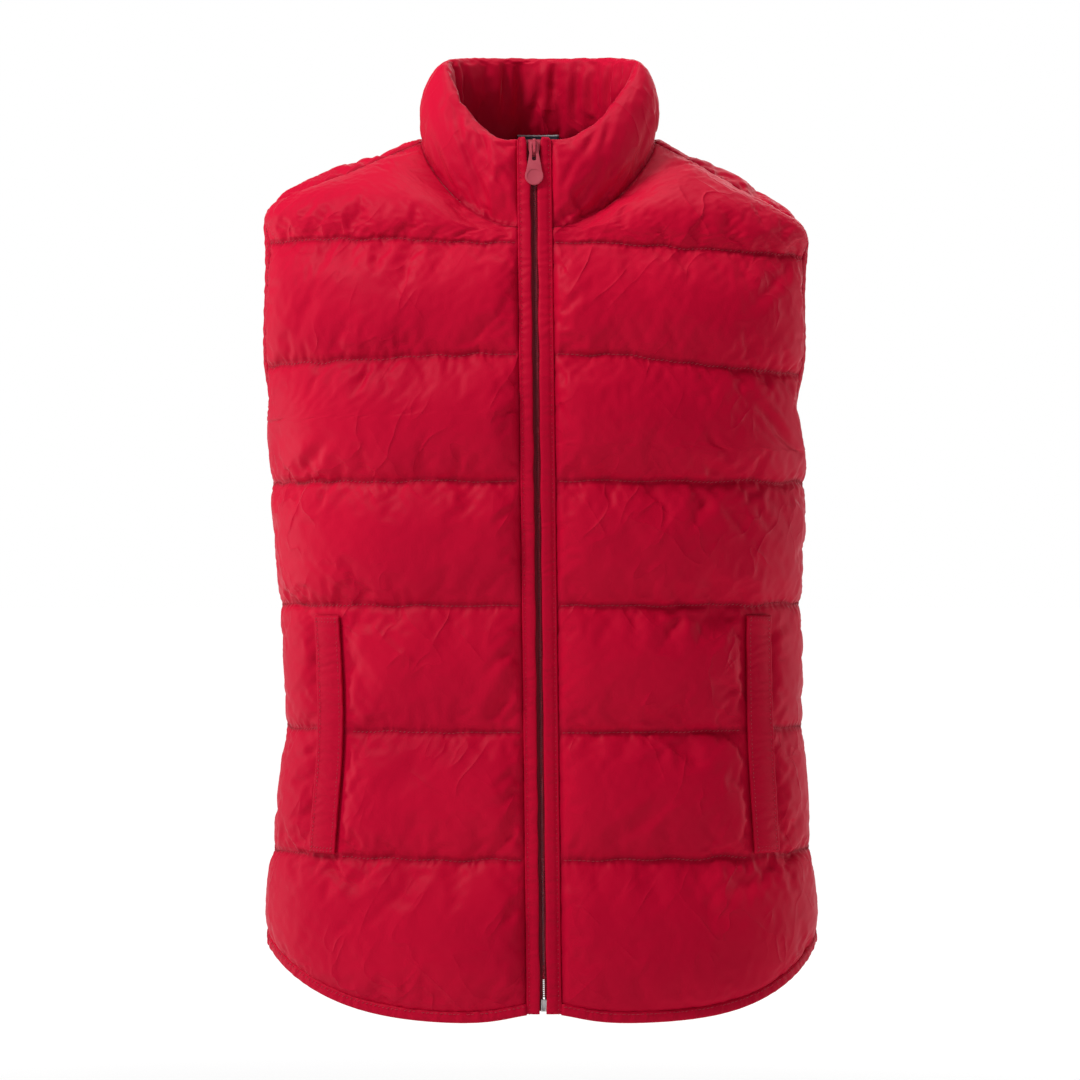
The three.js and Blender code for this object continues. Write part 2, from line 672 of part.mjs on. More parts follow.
// A rounded strip along an edge: it leaves the cloth's edge in its own plane, and stands out along the normal
const STRIP_SECTION = [
  { out: 0, up: 0 }, { out: 0, up: 1 }, { out: 0.7, up: 1 },
  { out: 1, up: 0.66 }, { out: 1, up: 0.34 }, { out: 0.7, up: 0 },
];

function edgeStrip(edge, width, low, high, closed) {
  const count = edge.length;
  const sections = edge.map(({ point, normal, away, straight = 0 }, i) => {
    const before = edge[closed ? (i + count - 1) % count : Math.max(i - 1, 0)].point;
    const after = edge[closed ? (i + 1) % count : Math.min(i + 1, count - 1)].point;
    const along = after.clone().sub(before).normalize();
    const out = along.clone().cross(normal).normalize();
    if (out.dot(away) < 0) out.negate();
    out.lerp(away.clone().projectOnPlane(normal).normalize(), straight).normalize();
    return STRIP_SECTION.map((corner) => point.clone()
      .addScaledVector(out, STRIP_GAP + width * corner.out)
      .addScaledVector(normal, lerp(low, high, corner.up)));
  });
  return loft(sections, closed);
}

function armholeBinding(side) {
  const hole = side < 0 ? ARMHOLE.right : ARMHOLE.left;
  const centre = vec(0, 0, (hole.top + hole.bottom) / 2);
  const front = panels[side];
  const edge = [];
  const add = (panel, share, row) => {
    const point = panel.offset(share, row, 0);
    const normal = panel.offset(share, row, 1).sub(point);
    const away = centre.clone().setX(point.x).sub(point);
    edge.push({ point, normal, away });
  };
  const bottom = armholeRows(side)[0];
  const frontRows = front.rows.filter((row) => row >= bottom - 1e-6);
  const backRows = panels.back.rows.filter((row) => row >= bottom - 1e-6);
  for (const row of frontRows.slice(1)) add(front, 1, row);
  for (const row of backRows.toReversed().slice(1)) add(panels.back, side, row);
  return edgeStrip(edge, BINDING, -0.6, WALL + 0.9, true);
}

function hemBand(panel, zipEnd) {
  const edge = panel.columns.map((share) => {
    const point = panel.offset(share, 0, 0);
    const normal = panel.offset(share, 0, 1).sub(point);
    const nearZip = zipEnd ? 1 - smoothstep(share, 0, 0.2) : 0;
    const straight = Math.max(nearZip, smoothstep(Math.abs(share), 0.82, 1));
    return { point, normal, away: vec(0, 0, -1), straight };
  });
  return edgeStrip(edge, HEM_BAND - 0.4, -1, WALL + 1.5, false);
}

// The line of the closed zip: down the front from the collar's top
function zipLine(z) {
  const neck = YOKE.z;
  const y = z <= neck ? -form(z).front : -form(neck).front + COLLAR_LEAN * (z - neck);
  return vec(zipX(z), y, z);
}

const nearTop = (z) => smoothstep(z, ZIP_TOP - 34, ZIP_TOP - 12);

// Heights of the sections of all pieces along the zip, closer together where the line bends at the neck
const ZIP_HEIGHTS = [
  -650, -620, -588, -556, -524, -492, -459, -427, -395, -362, -330, -298, -267, -240, -212,
  -190, -171, -148, -125, -102, -88, -80, -73, -60, -45, -36, -29, -22, -14,
];
const heights = (from, to) => [from, ...ZIP_HEIGHTS.filter((z) => z > from + 3 && z < to - 1), to];

// A strip beside the zip, between two distances from its line and two depths in front of the form
function besideZip(side, inner, outer, near, far, zs) {
  const sections = zs.map((z) => {
    const p = zipLine(z);
    const from = inner(z);
    const to = outer(z);
    return STRIP_SECTION.map((corner) => vec(
      p.x + side * lerp(from, to, corner.out), p.y - lerp(near, far, corner.up), z,
    ));
  });
  return loft(sections);
}

const placketInner = (z) => PLACKET_INNER + PLACKET_SPREAD * nearTop(z);

function placket(side) {
  const near = TAPE_THICK + 0.3;
  const far = near + PLACKET_THICK;
  return besideZip(side, placketInner, () => PLACKET_OUTER, near, far, heights(ZIP_BOTTOM, ZIP_TOP));
}

function zipTape(side) {
  const inner = (z) => 0.6 + 1.8 * nearTop(z);
  const zs = heights(ZIP_BOTTOM + 2, ZIP_TOP - 1.5);
  const sections = zs.map((z) => {
    const p = zipLine(z);
    const from = p.x + side * inner(z);
    const to = p.x + side * PLACKET_OUTER;
    const face = p.y - TAPE_THICK;
    return [vec(from, p.y, z), vec(to, p.y, z), vec(to, face, z), vec(from, face, z)];
  });
  return loft(sections);
}

const SLIDER_BOTTOM = PULL_PIVOT_Z - 9;

function zipChain() {
  const near = TAPE_THICK + 0.3;
  const zs = heights(ZIP_BOTTOM + 12, SLIDER_BOTTOM - 1);
  return besideZip(1, () => -CHAIN_HALF, () => CHAIN_HALF, near, near + CHAIN_THICK, zs);
}

// Boxes and extrusions for the zip's hard pieces
function block(from, to) {
  const size = to.clone().sub(from);
  const g = new THREE.BoxGeometry(size.x, size.y, size.z);
  return g.translate(...from.clone().add(to).multiplyScalar(0.5).toArray());
}

function solid(geometry) {
  const g = geometry.clone();
  g.deleteAttribute("normal");
  g.deleteAttribute("uv");
  const merged = mergeVertices(g, 1e-4);
  return new wasm.Manifold(new wasm.Mesh({
    numProp: 3,
    vertProperties: new Float32Array(merged.getAttribute("position").array),
    triVerts: new Uint32Array(merged.getIndex().array),
  }));
}

function geometryOf(manifold) {
  const mesh = manifold.getMesh();
  const g = new THREE.BufferGeometry();
  g.setAttribute("position", new THREE.BufferAttribute(mesh.vertProperties, 3));
  g.setIndex(new THREE.BufferAttribute(mesh.triVerts, 1));
  return g;
}

// Slider and pull are drawn round the pull's pivot, with the cloth's face in the XZ plane
const PULL_THICK = 1.8;
const PULL_DEPTH = 6.9; // the pivot's distance in front of the form
const BRIDGE_HALF = 1;

function zipSlider() {
  const front = PULL_DEPTH - (TAPE_THICK + 0.3 + CHAIN_THICK + 0.3);
  const plate = new THREE.Shape();
  plate.moveTo(-4.4, 3.4);
  plate.lineTo(-1.6, 3.4);
  plate.lineTo(0, 2.2);
  plate.lineTo(1.6, 3.4);
  plate.lineTo(4.4, 3.4);
  plate.lineTo(4.2, -4.5);
  plate.lineTo(3.1, -9);
  plate.lineTo(-3.1, -9);
  plate.lineTo(-4.2, -4.5);
  plate.closePath();
  const upright = (depth) =>
    new THREE.ExtrudeGeometry(plate, { depth, bevelEnabled: false }).rotateX(Math.PI / 2);
  const face = upright(1.2).translate(0, front, 0);
  const rear = upright(1).translate(0, PULL_DEPTH + 1.3, 0);
  const post = block(vec(-1.5, front - 0.6, -1.5), vec(1.5, PULL_DEPTH + 0.8, 2));
  const arch = new THREE.Shape();
  arch.moveTo(-front + 0.6, 2.9);
  arch.lineTo(1.6, 2.9);
  arch.quadraticCurveTo(2.7, 2.9, 2.7, 1.7);
  arch.lineTo(2.7, -5.4);
  arch.quadraticCurveTo(2.6, -7.2, 0.8, -7.6);
  arch.lineTo(-front + 0.6, -7.6);
  arch.closePath();
  const hole = new THREE.Path();
  hole.moveTo(-1.65, 1.7);
  hole.lineTo(-1.65, -6.4);
  hole.lineTo(0.6, -6.4);
  hole.lineTo(1.6, -5.2);
  hole.lineTo(1.6, 1.7);
  hole.closePath();
  arch.holes.push(hole);
  const across = { depth: 2 * BRIDGE_HALF, bevelEnabled: false, curveSegments: 4 };
  const bridge = new THREE.ExtrudeGeometry(arch, across);
  // The arch is drawn with its height along x and its length along y: stand it on the face plate
  bridge.applyMatrix4(new THREE.Matrix4().makeBasis(vec(0, -1, 0), vec(0, 0, 1), vec(-1, 0, 0)));
  bridge.translate(BRIDGE_HALF, 0, 0);
  return geometryOf(solid(face).add(solid(rear)).add(solid(post)).add(solid(bridge)));
}

const PULL = { top: 0.9, neck: 2.9, wide: 7, length: 33, slotHalf: 1.6, slotEnd: -14 };

function zipPull() {
  const outline = new THREE.Shape();
  const round = PULL.wide;
  const centre = -PULL.length + round;
  outline.moveTo(-PULL.neck, PULL.top);
  outline.lineTo(PULL.neck, PULL.top);
  outline.lineTo(PULL.neck + 0.4, -6);
  outline.quadraticCurveTo(PULL.neck + 1.4, -13, round * 0.93, centre + 3.2);
  outline.absarc(0, centre, round, 0.4, Math.PI - 0.4, true);
  outline.quadraticCurveTo(-PULL.neck - 1.4, -13, -PULL.neck - 0.4, -6);
  outline.closePath();
  const slot = new THREE.Path();
  slot.moveTo(-PULL.slotHalf, -PULL.top);
  slot.lineTo(-PULL.slotHalf, PULL.slotEnd);
  slot.lineTo(PULL.slotHalf, PULL.slotEnd);
  slot.lineTo(PULL.slotHalf, -PULL.top);
  slot.closePath();
  outline.holes.push(slot);
  const through = { depth: PULL_THICK, bevelEnabled: false, curveSegments: 12 };
  const g = new THREE.ExtrudeGeometry(outline, through);
  return g.rotateX(Math.PI / 2).translate(0, PULL_THICK / 2, 0);
}

function zipBox() {
  const p = zipLine(ZIP_BOTTOM + 7);
  const near = TAPE_THICK + 0.3;
  return block(vec(p.x - 2.2, p.y - near - 3, p.z - 5), vec(p.x + 2.2, p.y - near, p.z + 4));
}

// Welt: a flat strip on the panel's own points, beside the pocket's mouth
function welt(side) {
  const panel = panels[side];
  const rows = panel.rows.filter((row) => row >= WELT_BOTTOM_ROW && row <= WELT_TOP_ROW);
  const { from, to } = side < 0 ? WELT.right : WELT.left;
  const sections = rows.map((row) => {
    const end = row === rows[0] || row === rows.at(-1);
    const thick = WELT_THICK * (end ? 0.7 : 1);
    const low = [0, 0.5, 1].map((t) => panel.filled(lerp(from, to, t), row, LAID_ON_GAP));
    const high = [0.88, 0.5, 0.12].map((t) => panel.filled(lerp(from, to, t), row, LAID_ON_GAP + thick));
    return [...low, ...high];
  });
  return loft(sections);
}

// Collar: stations from the zip on the wearer's right, round the back, to the zip on the left
const NECK_STATIONS = (() => {
  const back = BACK_HALF.filter((share) => share <= NECK_SHARE).map((share) => share / NECK_SHARE / 2);
  const front = panels[RIGHT].rows.filter((row) => row >= YOKE_ROW && row < TOP_ROW).toReversed()
    .map((row) => 0.5 + (0.5 * (TOP_ROW - row)) / (TOP_ROW - YOKE_ROW));
  return bothSides([...back, ...front]);
})();

function neckPoint(share) {
  const side = share < 0 ? RIGHT : LEFT;
  const out = Math.abs(share);
  if (out <= 0.5) {
    const across = side * NECK_SHARE * Math.min(out / 0.5, 0.999);
    return { point: backNeckline(side, out / 0.5), normal: outward(backPoint, across, TOP_ROW, -1) };
  }
  const row = lerp(TOP_ROW, YOKE_ROW, (out - 0.5) / 0.5);
  const pointAt = (s, r) => frontPoint(side, s, r);
  return { point: pointAt(0, row), normal: outward(pointAt, 0.006, row, side) };
}

// Between two stations the foot of the collar runs straight, as the panels' edges do
function neckEdge(share) {
  const i = clamp(NECK_STATIONS.findIndex((at) => at > share), 1, NECK_STATIONS.length - 1);
  const [low, high] = [NECK_STATIONS[i - 1], NECK_STATIONS[i]];
  const t = (share - low) / (high - low);
  const [a, b] = [neckPoint(low), neckPoint(high)];
  return { point: a.point.lerp(b.point, t), normal: a.normal.lerp(b.normal, t).normalize() };
}

// Rows up the collar: height as a share, and how much of the filling stands out on each face
const COLLAR_SECTION = [
  { up: 0, outer: 0, inner: 0 }, { up: 0.07, outer: 0.06, inner: 0.22 },
  { up: 0.2, outer: 0.5, inner: 0.66 }, { up: 0.42, outer: 0.98, inner: 0.95 },
  { up: 0.66, outer: 1, inner: 0.93 }, { up: 0.86, outer: 0.66, inner: 0.6 },
  { up: 0.965, outer: 0.2, inner: 0.2 }, { up: 1, outer: -0.12, inner: -0.12 },
];
const COLLAR_OUT = 9; // how far the filling stands out on the outer face
const COLLAR_IN = 8.5;
const COLLAR_FOOT = { out: 2.4, in: 2.2 }; // thickness to each side of the neck seam
const COLLAR_BEND = 12; // the collar turns up from the panels' slope over this height
const COLLAR_LEANS = { back: 0.1, right: 0.23, left: 0.15 }; // how far it leans in for each millimetre up
// Folds down the inner face: their places round the collar, half widths and depths
const COLLAR_FOLDS = [
  { at: -0.78, half: 0.022, depth: 2.5 }, { at: -0.56, half: 0.026, depth: 3 },
  { at: -0.4, half: 0.03, depth: 3.5 }, { at: -0.22, half: 0.024, depth: 2.4 },
  { at: -0.07, half: 0.034, depth: 4.4 }, { at: 0.08, half: 0.022, depth: 2.2 },
  { at: 0.21, half: 0.03, depth: 3.6 }, { at: 0.36, half: 0.024, depth: 2.6 },
  { at: 0.5, half: 0.028, depth: 3.2 },
  { at: 0.7, half: 0.024, depth: 2.4 },
];

function collarFold(share) {
  return COLLAR_FOLDS.reduce((sum, f) => sum + f.depth * Math.exp(-(((share - f.at) / f.half) ** 2)), 0);
}

// A value that goes from the back past the side to the front of the collar
function roundCollar(share, back, side, front) {
  const out = Math.abs(share) * 2;
  return out < 1 ? lerp(back, side, smoothstep(out, 0, 1)) : lerp(side, front, smoothstep(out, 1, 2));
}

function collarSection(share) {
  const { point, normal } = neckEdge(share);
  const low = neckPoint(Math.max(share - 0.01, -1)).point;
  const high = neckPoint(Math.min(share + 0.01, 1)).point;
  const atZip = smoothstep(Math.abs(share), 0.86, 0.99);
  const round = high.sub(low).normalize().lerp(vec(-1, 0, 0), atZip).normalize();
  const away = vec(-round.y, round.x, 0).normalize();
  const flat = normal.clone().projectOnPlane(round).normalize();
  const onwards = flat.clone().cross(round).normalize();
  if (onwards.z < 0) onwards.negate();
  const sideLean = share < 0 ? COLLAR_LEANS.right : COLLAR_LEANS.left;
  const lean = roundCollar(share, COLLAR_LEANS.back, sideLean, COLLAR_LEAN);
  const height = roundCollar(share, COLLAR_HEIGHT.back, COLLAR_HEIGHT.side, COLLAR_HEIGHT.front);
  const upwards = vec(0, 0, 1).addScaledVector(away, -lean).normalize();
  const level = away.clone().addScaledVector(vec(0, 0, 1), lean).normalize();
  const full = lerp(0.06, 1, quarterRound((1 - Math.abs(share)) * 240, 22));
  const middle = point.clone().addScaledVector(onwards, 2 * SEAM_GAP);
  const outer = [];
  const inner = [];
  let before = 0;
  for (const row of COLLAR_SECTION) {
    const up = row.up * height;
    const turned = smoothstep((before + up) / 2, 0, COLLAR_BEND);
    middle.addScaledVector(onwards.clone().lerp(upwards, turned).normalize(), up - before);
    const facing = flat.clone().lerp(level, smoothstep(up, 0, COLLAR_BEND)).normalize();
    const fold = collarFold(share) * clamp(row.inner, 0, 1);
    const place = middle.clone().setX(middle.x + atZip * (zipX(middle.z) - zipX(point.z)));
    outer.push(place.clone().addScaledVector(facing, COLLAR_FOOT.out + COLLAR_OUT * row.outer * full));
    const inward = COLLAR_FOOT.in + (COLLAR_IN * row.inner - fold) * full;
    inner.push(place.clone().addScaledVector(facing, -inward));
    before = up;
  }
  return [...outer, ...inner.toReversed()];
}

function collar() {
  const doubled = (share, i) => (i ? [(share + NECK_STATIONS[i - 1]) / 2, share] : [share]);
  const shares = NECK_STATIONS.flatMap(doubled);
  return loft(shares.map((share) => collarSection(clamp(share, -0.999, 0.999))));
}

// Neck tab: a small plain strip on the inside of the back neck
const TAB = { half: 17, top: 5.5, drop: 20, thick: 0.9 };

function neckTab() {
  const sections = [-1, -0.5, 0, 0.5, 1].map((share) => {
    const ring = backNeckline(share < 0 ? RIGHT : LEFT, Math.abs(share) * 0.13);
    const y = ring.y - 9.6;
    const x = share * TAB.half;
    const low = ring.z - TAB.drop;
    const high = ring.z + TAB.top;
    return [vec(x, y, low), vec(x, y, high), vec(x, y - TAB.thick, high), vec(x, y - TAB.thick, low)];
  });
  return loft(sections);
}

// Assembly
const vest = new THREE.Group();

function add(name, geometry, look = RED, parent = vest) {
  const mesh = new THREE.Mesh(geometry, new THREE.MeshStandardMaterial({ metalness: 0, ...look }));
  mesh.name = name;
  parent.add(mesh);
}

const DARK = { color: 0x15151f, roughness: 0.6 };
const TAPE = { color: 0x8f0a22, roughness: 0.8 };

for (const [side, name] of [[RIGHT, "right"], [LEFT, "left"]]) {
  add(`front_${name}`, panelGeometry(panels[side]));
  add(`lining_front_${name}`, liningGeometry(panels[side]), DARK);
  add(`welt_${name}`, welt(side));
  add(`placket_${name}`, placket(side));
  add(`zip_tape_${name}`, zipTape(side), TAPE);
  add(`binding_armhole_${name}`, armholeBinding(side));
  add(`hem_band_front_${name}`, hemBand(panels[side], true));
}
add("back", panelGeometry(panels.back));
add("lining_back", liningGeometry(panels.back), DARK);
add("hem_band_back", hemBand(panels.back, false));
add("collar", collar());
add("neck_tab", neckTab(), DARK);
add("zip_chain", zipChain(), TAPE);
add("zip_box", zipBox(), { color: 0xc8c8cc, roughness: 0.3, metalness: 1 });

// The slider and its pull lie along the collar's lean
const sliderGroup = new THREE.Group();
const pivot = zipLine(PULL_PIVOT_Z);
sliderGroup.position.set(pivot.x, pivot.y - PULL_DEPTH * Math.cos(Math.atan(COLLAR_LEAN)), pivot.z);
sliderGroup.rotation.x = -Math.atan(COLLAR_LEAN);
add("zip_slider", zipSlider(), { color: 0xb0324a, roughness: 0.4 }, sliderGroup);
add("zip_pull", zipPull(), { color: 0xc23a4c, roughness: 0.5 }, sliderGroup);
vest.add(sliderGroup);

export default vest;
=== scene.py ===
import functools
import math

import bmesh
import bpy
import numpy as np
from bpy.props import FloatProperty, FloatVectorProperty, PointerProperty
from mathutils import Matrix, Vector


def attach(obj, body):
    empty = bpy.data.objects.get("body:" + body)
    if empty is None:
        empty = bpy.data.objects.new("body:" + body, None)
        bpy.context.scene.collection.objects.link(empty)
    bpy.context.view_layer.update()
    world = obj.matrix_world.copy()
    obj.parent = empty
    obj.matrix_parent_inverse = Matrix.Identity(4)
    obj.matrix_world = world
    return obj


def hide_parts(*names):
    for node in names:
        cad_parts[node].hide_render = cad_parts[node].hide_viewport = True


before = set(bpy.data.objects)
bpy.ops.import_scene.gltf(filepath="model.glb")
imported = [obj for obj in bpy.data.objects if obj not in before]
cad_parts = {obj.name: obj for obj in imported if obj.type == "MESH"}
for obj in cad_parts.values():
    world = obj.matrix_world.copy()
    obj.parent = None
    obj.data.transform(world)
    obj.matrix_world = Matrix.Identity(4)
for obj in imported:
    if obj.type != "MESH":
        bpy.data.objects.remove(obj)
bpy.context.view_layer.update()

bl_info = {
    "name": "Quilted vest",
    "version": (1, 0, 0),
    "blender": (4, 5, 0),
    "location": "3D View > Sidebar > Vest",
    "description": "Dresses a filled vest: padded panels, collar, bound edges, welts, lining and zip",
    "category": "Object",
}

MM = 0.001
RIGHT, LEFT, BACK = -1, 1, 0
SIDES = ((RIGHT, "right"), (LEFT, "left"))
PANELS = ((RIGHT, "front_right"), (LEFT, "front_left"), (BACK, "back"))
VEST = "vest"
PULL_TAB = "pull_tab"

# All sizes are in millimetres. Cloth and gaps first
SEAM_GAP = 0.02
WALL = 2.5
LINING_GAP = 0.7
LINING = 0.8
LAID_ON_GAP = 0.4
STRIP_GAP = 0.5

# Inner face of the wall: height, half width to the right and left, depth in front and behind
FORM = np.array([
    (-700, 210, 216, 134, 124),
    (-640, 212, 218, 134, 122),
    (-556, 207, 213, 130, 112),
    (-459, 197, 207, 125, 103),
    (-362, 201, 205, 128, 108),
    (-267, 208, 208, 133, 123),
    (-212, 209, 204, 134, 131),
    (-171, 219, 214, 130, 133),
    (-125, 221, 215, 122, 130),
    (-80, 219, 214, 112, 122),
    (-40, 214, 210, 101, 112),
], float)
SQUARENESS = 2.35

# Quilting lines: height, drop towards the right and the left armhole
LINES = np.array([(-556, 0, 0), (-459, 0, 0), (-362, 0, 0), (-267, 0, 0), (-171, 4, 11), (-85, -6, 5)], float)
YOKE = (-73, -9, 6)
YOKE_ROW = 6.2
TOP_ROW = 7

# Filling: the crown of each channel from the hem up, its roundness, and how it falls off to the edges
CROWNS = (11.5, 10.5, 10.5, 11.5, 12, 11, 9.5)
CROWN_SHAPE = 0.72
CROWN_EDGE = 24
NECK_REACH = 34
SIDE_SEAM_CROWN = 0.12
SIDE_SEAM_REACH = 95

# Hem: height at the sides, lowest height, lift and its reach beside the zip
HEM_SIDE = -631
HEM_LOW = -680
HEM_ZIP_LIFT = 8
HEM_ZIP_REACH = 34
HEM_ROUNDNESS = {RIGHT: 4, LEFT: 5.2}
HEM_BAND = 8

# Armholes in the side view: top, bottom, reach to the front and to the back
ARMHOLE = {RIGHT: (-47, -219, 50, 62), LEFT: (-61, -243, 50, 62)}
ARMHOLE_ROUNDNESS = 2.4
BINDING = 7

# Where the shoulder seam meets the neck and the armhole, and the middle of the back neckline
NECK_POINT = (92, -26, 0.5)
NECK_BACK = (64, 13)
SHOULDER_TIP = {RIGHT: (208, -15, -50), LEFT: (205, -15, -65)}
SHOULDER_RISE = {RIGHT: 1.5, LEFT: 2.5}
NECK_SHARE = 0.43

# Zip line, then the plackets and tapes beside it: how far from the line they reach and how thick they are
ZIP_TOP_X = -3
ZIP_LEAN = 8 / 690
PANEL_EDGE = 13
PLACKET_INNER = {RIGHT: 3.1, LEFT: 1.9}
COIL_OFFSET = 0.75
PLACKET_OUTER = 13.4
PLACKET_THICK = 4.4
PLACKET_SPREAD = 3
PLACKET_BASE = 1.1
PLACKET_SEAM = PLACKET_OUTER - 2.3
TAPE_THICK = 0.8
ZIP_TOP = -2
ZIP_BOTTOM = -672
COLLAR_LEAN = 0.15

# Collar: height at the back, side and front, filling outside and inside, half its length round
COLLAR_HEIGHT = (67, 67, 70)
COLLAR_OUT = 9
COLLAR_IN = 8.5
COLLAR_HALF_ROUND = 260
COLLAR_FOOT = (2.4, 2.2)
COLLAR_BEND = 12
COLLAR_LEANS = {BACK: 0.1, RIGHT: 0.23, LEFT: 0.15}
# Up the collar: share of the height, filling on the outer face and on the inner face
COLLAR_SECTION = np.array([
    (0, 0, 0), (0.07, 0.06, 0.22), (0.2, 0.5, 0.66), (0.42, 0.98, 0.95),
    (0.66, 1, 0.93), (0.86, 0.66, 0.6), (0.965, 0.2, 0.2), (1, -0.12, -0.12),
])
# Folds down the collar's inner face: place round the collar, half width, depth
COLLAR_FOLDS = (
    (-0.78, 0.022, 2.5), (-0.56, 0.026, 3), (-0.4, 0.03, 3.5), (-0.22, 0.024, 2.4), (-0.07, 0.034, 4.4),
    (0.08, 0.022, 2.2), (0.21, 0.03, 3.6), (0.36, 0.024, 2.6), (0.5, 0.028, 3.2), (0.7, 0.024, 2.4),
)

# Creases of the collar: outer or inner face, start and end (place round, share of height), half width, depth
COLLAR_CREASES = (
    (True, 0.96, 0.12, 0.83, 0.52, 4, 2.0),
    (True, 0.9, 0.06, 0.7, 0.3, 4, 1.9),
    (True, 0.98, 0.4, 0.91, 0.78, 3.5, 1.5),
    (True, 0.72, 0.08, 0.62, 0.5, 5, 2.2),
    (True, 0.52, 0.1, 0.56, 0.6, 5, 2.0),
    (True, 0.3, 0.05, 0.26, 0.45, 5, 2.0),
    (True, 0.08, 0.05, 0.12, 0.5, 5, 2.2),
    (True, -0.14, 0.08, -0.2, 0.55, 5, 2.0),
    (True, -0.36, 0.05, -0.32, 0.4, 5, 2.0),
    (True, -0.55, 0.06, -0.6, 0.5, 5, 2.2),
    (True, -0.75, 0.08, -0.66, 0.42, 5, 2.2),
    (True, -0.92, 0.1, -0.82, 0.6, 4, 1.9),
    (False, 0.88, 0.5, 0.86, 0.95, 4, 3.7),
    (False, 0.28, 0.3, 0.3, 0.95, 4, 4.1),
    (False, 0.14, 0.25, 0.15, 0.9, 4, 3.9),
    (False, -0.14, 0.3, -0.13, 0.95, 4, 4.1),
    (False, -0.3, 0.25, -0.33, 0.9, 4, 3.9),
    (False, -0.88, 0.5, -0.86, 0.95, 4, 3.7),
    (True, 0.9, 0.72, 0.82, 0.95, 4, 2.4),
    (True, 0.83, 0.7, 0.77, 0.93, 3.5, 2),
    (True, -0.9, 0.72, -0.83, 0.95, 4, 2.6),
    (True, -0.8, 0.66, -0.74, 0.92, 3.5, 2),
    (True, -0.97, 0.45, -0.88, 0.62, 4, 1.8),
    (False, 0.05, 0.35, 0.07, 0.98, 4, 2.6),
    (False, -0.05, 0.1, 0.02, 0.7, 5, 2.8),
    (False, -0.42, 0.3, -0.4, 0.95, 5, 3.4),
    (False, 0.42, 0.3, 0.44, 0.95, 5, 3.2),
)

# Pocket welts: the columns that they lie on, and their lowest and highest row
WELT = {RIGHT: (0.555, 0.645), LEFT: (0.575, 0.665)}
WELT_ROWS = (1.02, 2.92)
WELT_THICK = 3
WELT_BED = 4
WELT_SEAMS = (0.12, 0.88)
WELT_ROW_LENGTH = 97
WELT_BULGE = 1.3

# Soft folds that the solids have too: panel, start share and row, end share and row, half width, depth
FOLDS = (
    (RIGHT, 0.1, 1.15, 0.32, 1.75, 13, 2.4),
    (RIGHT, 0.05, 2.1, 0.24, 2.85, 12, 2.2),
    (RIGHT, 0.36, 2.05, 0.5, 2.5, 12, 2.4),
    (RIGHT, 0.82, 4.05, 0.76, 4.4, 12, 3),
    (RIGHT, 0.42, 5.6, 0.38, 6, 10, 2),
    (LEFT, 0.62, 3.95, 0.84, 3.4, 13, 3),
    (LEFT, 0.64, 4.75, 0.78, 4.3, 13, 2.8),
    (LEFT, 0.32, 2.1, 0.56, 1.5, 13, 2.2),
    (LEFT, 0.42, 3.3, 0.5, 3.02, 12, 2.4),
    (LEFT, 0.44, 0.95, 0.7, 0.55, 13, 2),
    (BACK, -0.7, 4.6, -0.45, 4.15, 13, 2.6),
    (BACK, 0.62, 3.8, 0.4, 3.3, 13, 2.4),
    (BACK, -0.3, 1.85, -0.1, 1.3, 13, 2.2),
    (BACK, 0.2, 5.7, 0.42, 5.2, 13, 2.4),
    (BACK, -0.55, 2.8, -0.35, 2.3, 13, 2.2),
    (BACK, 0.72, 0.9, 0.5, 0.45, 13, 2.2),
)
# A panel's usual width and the usual height of a channel, for places that are given as shares and rows
SHARE_LENGTH = 250
ROW_LENGTH = 96
PANEL_WIDTH = 265
LAST_ROW = TOP_ROW - SEAM_GAP / 90

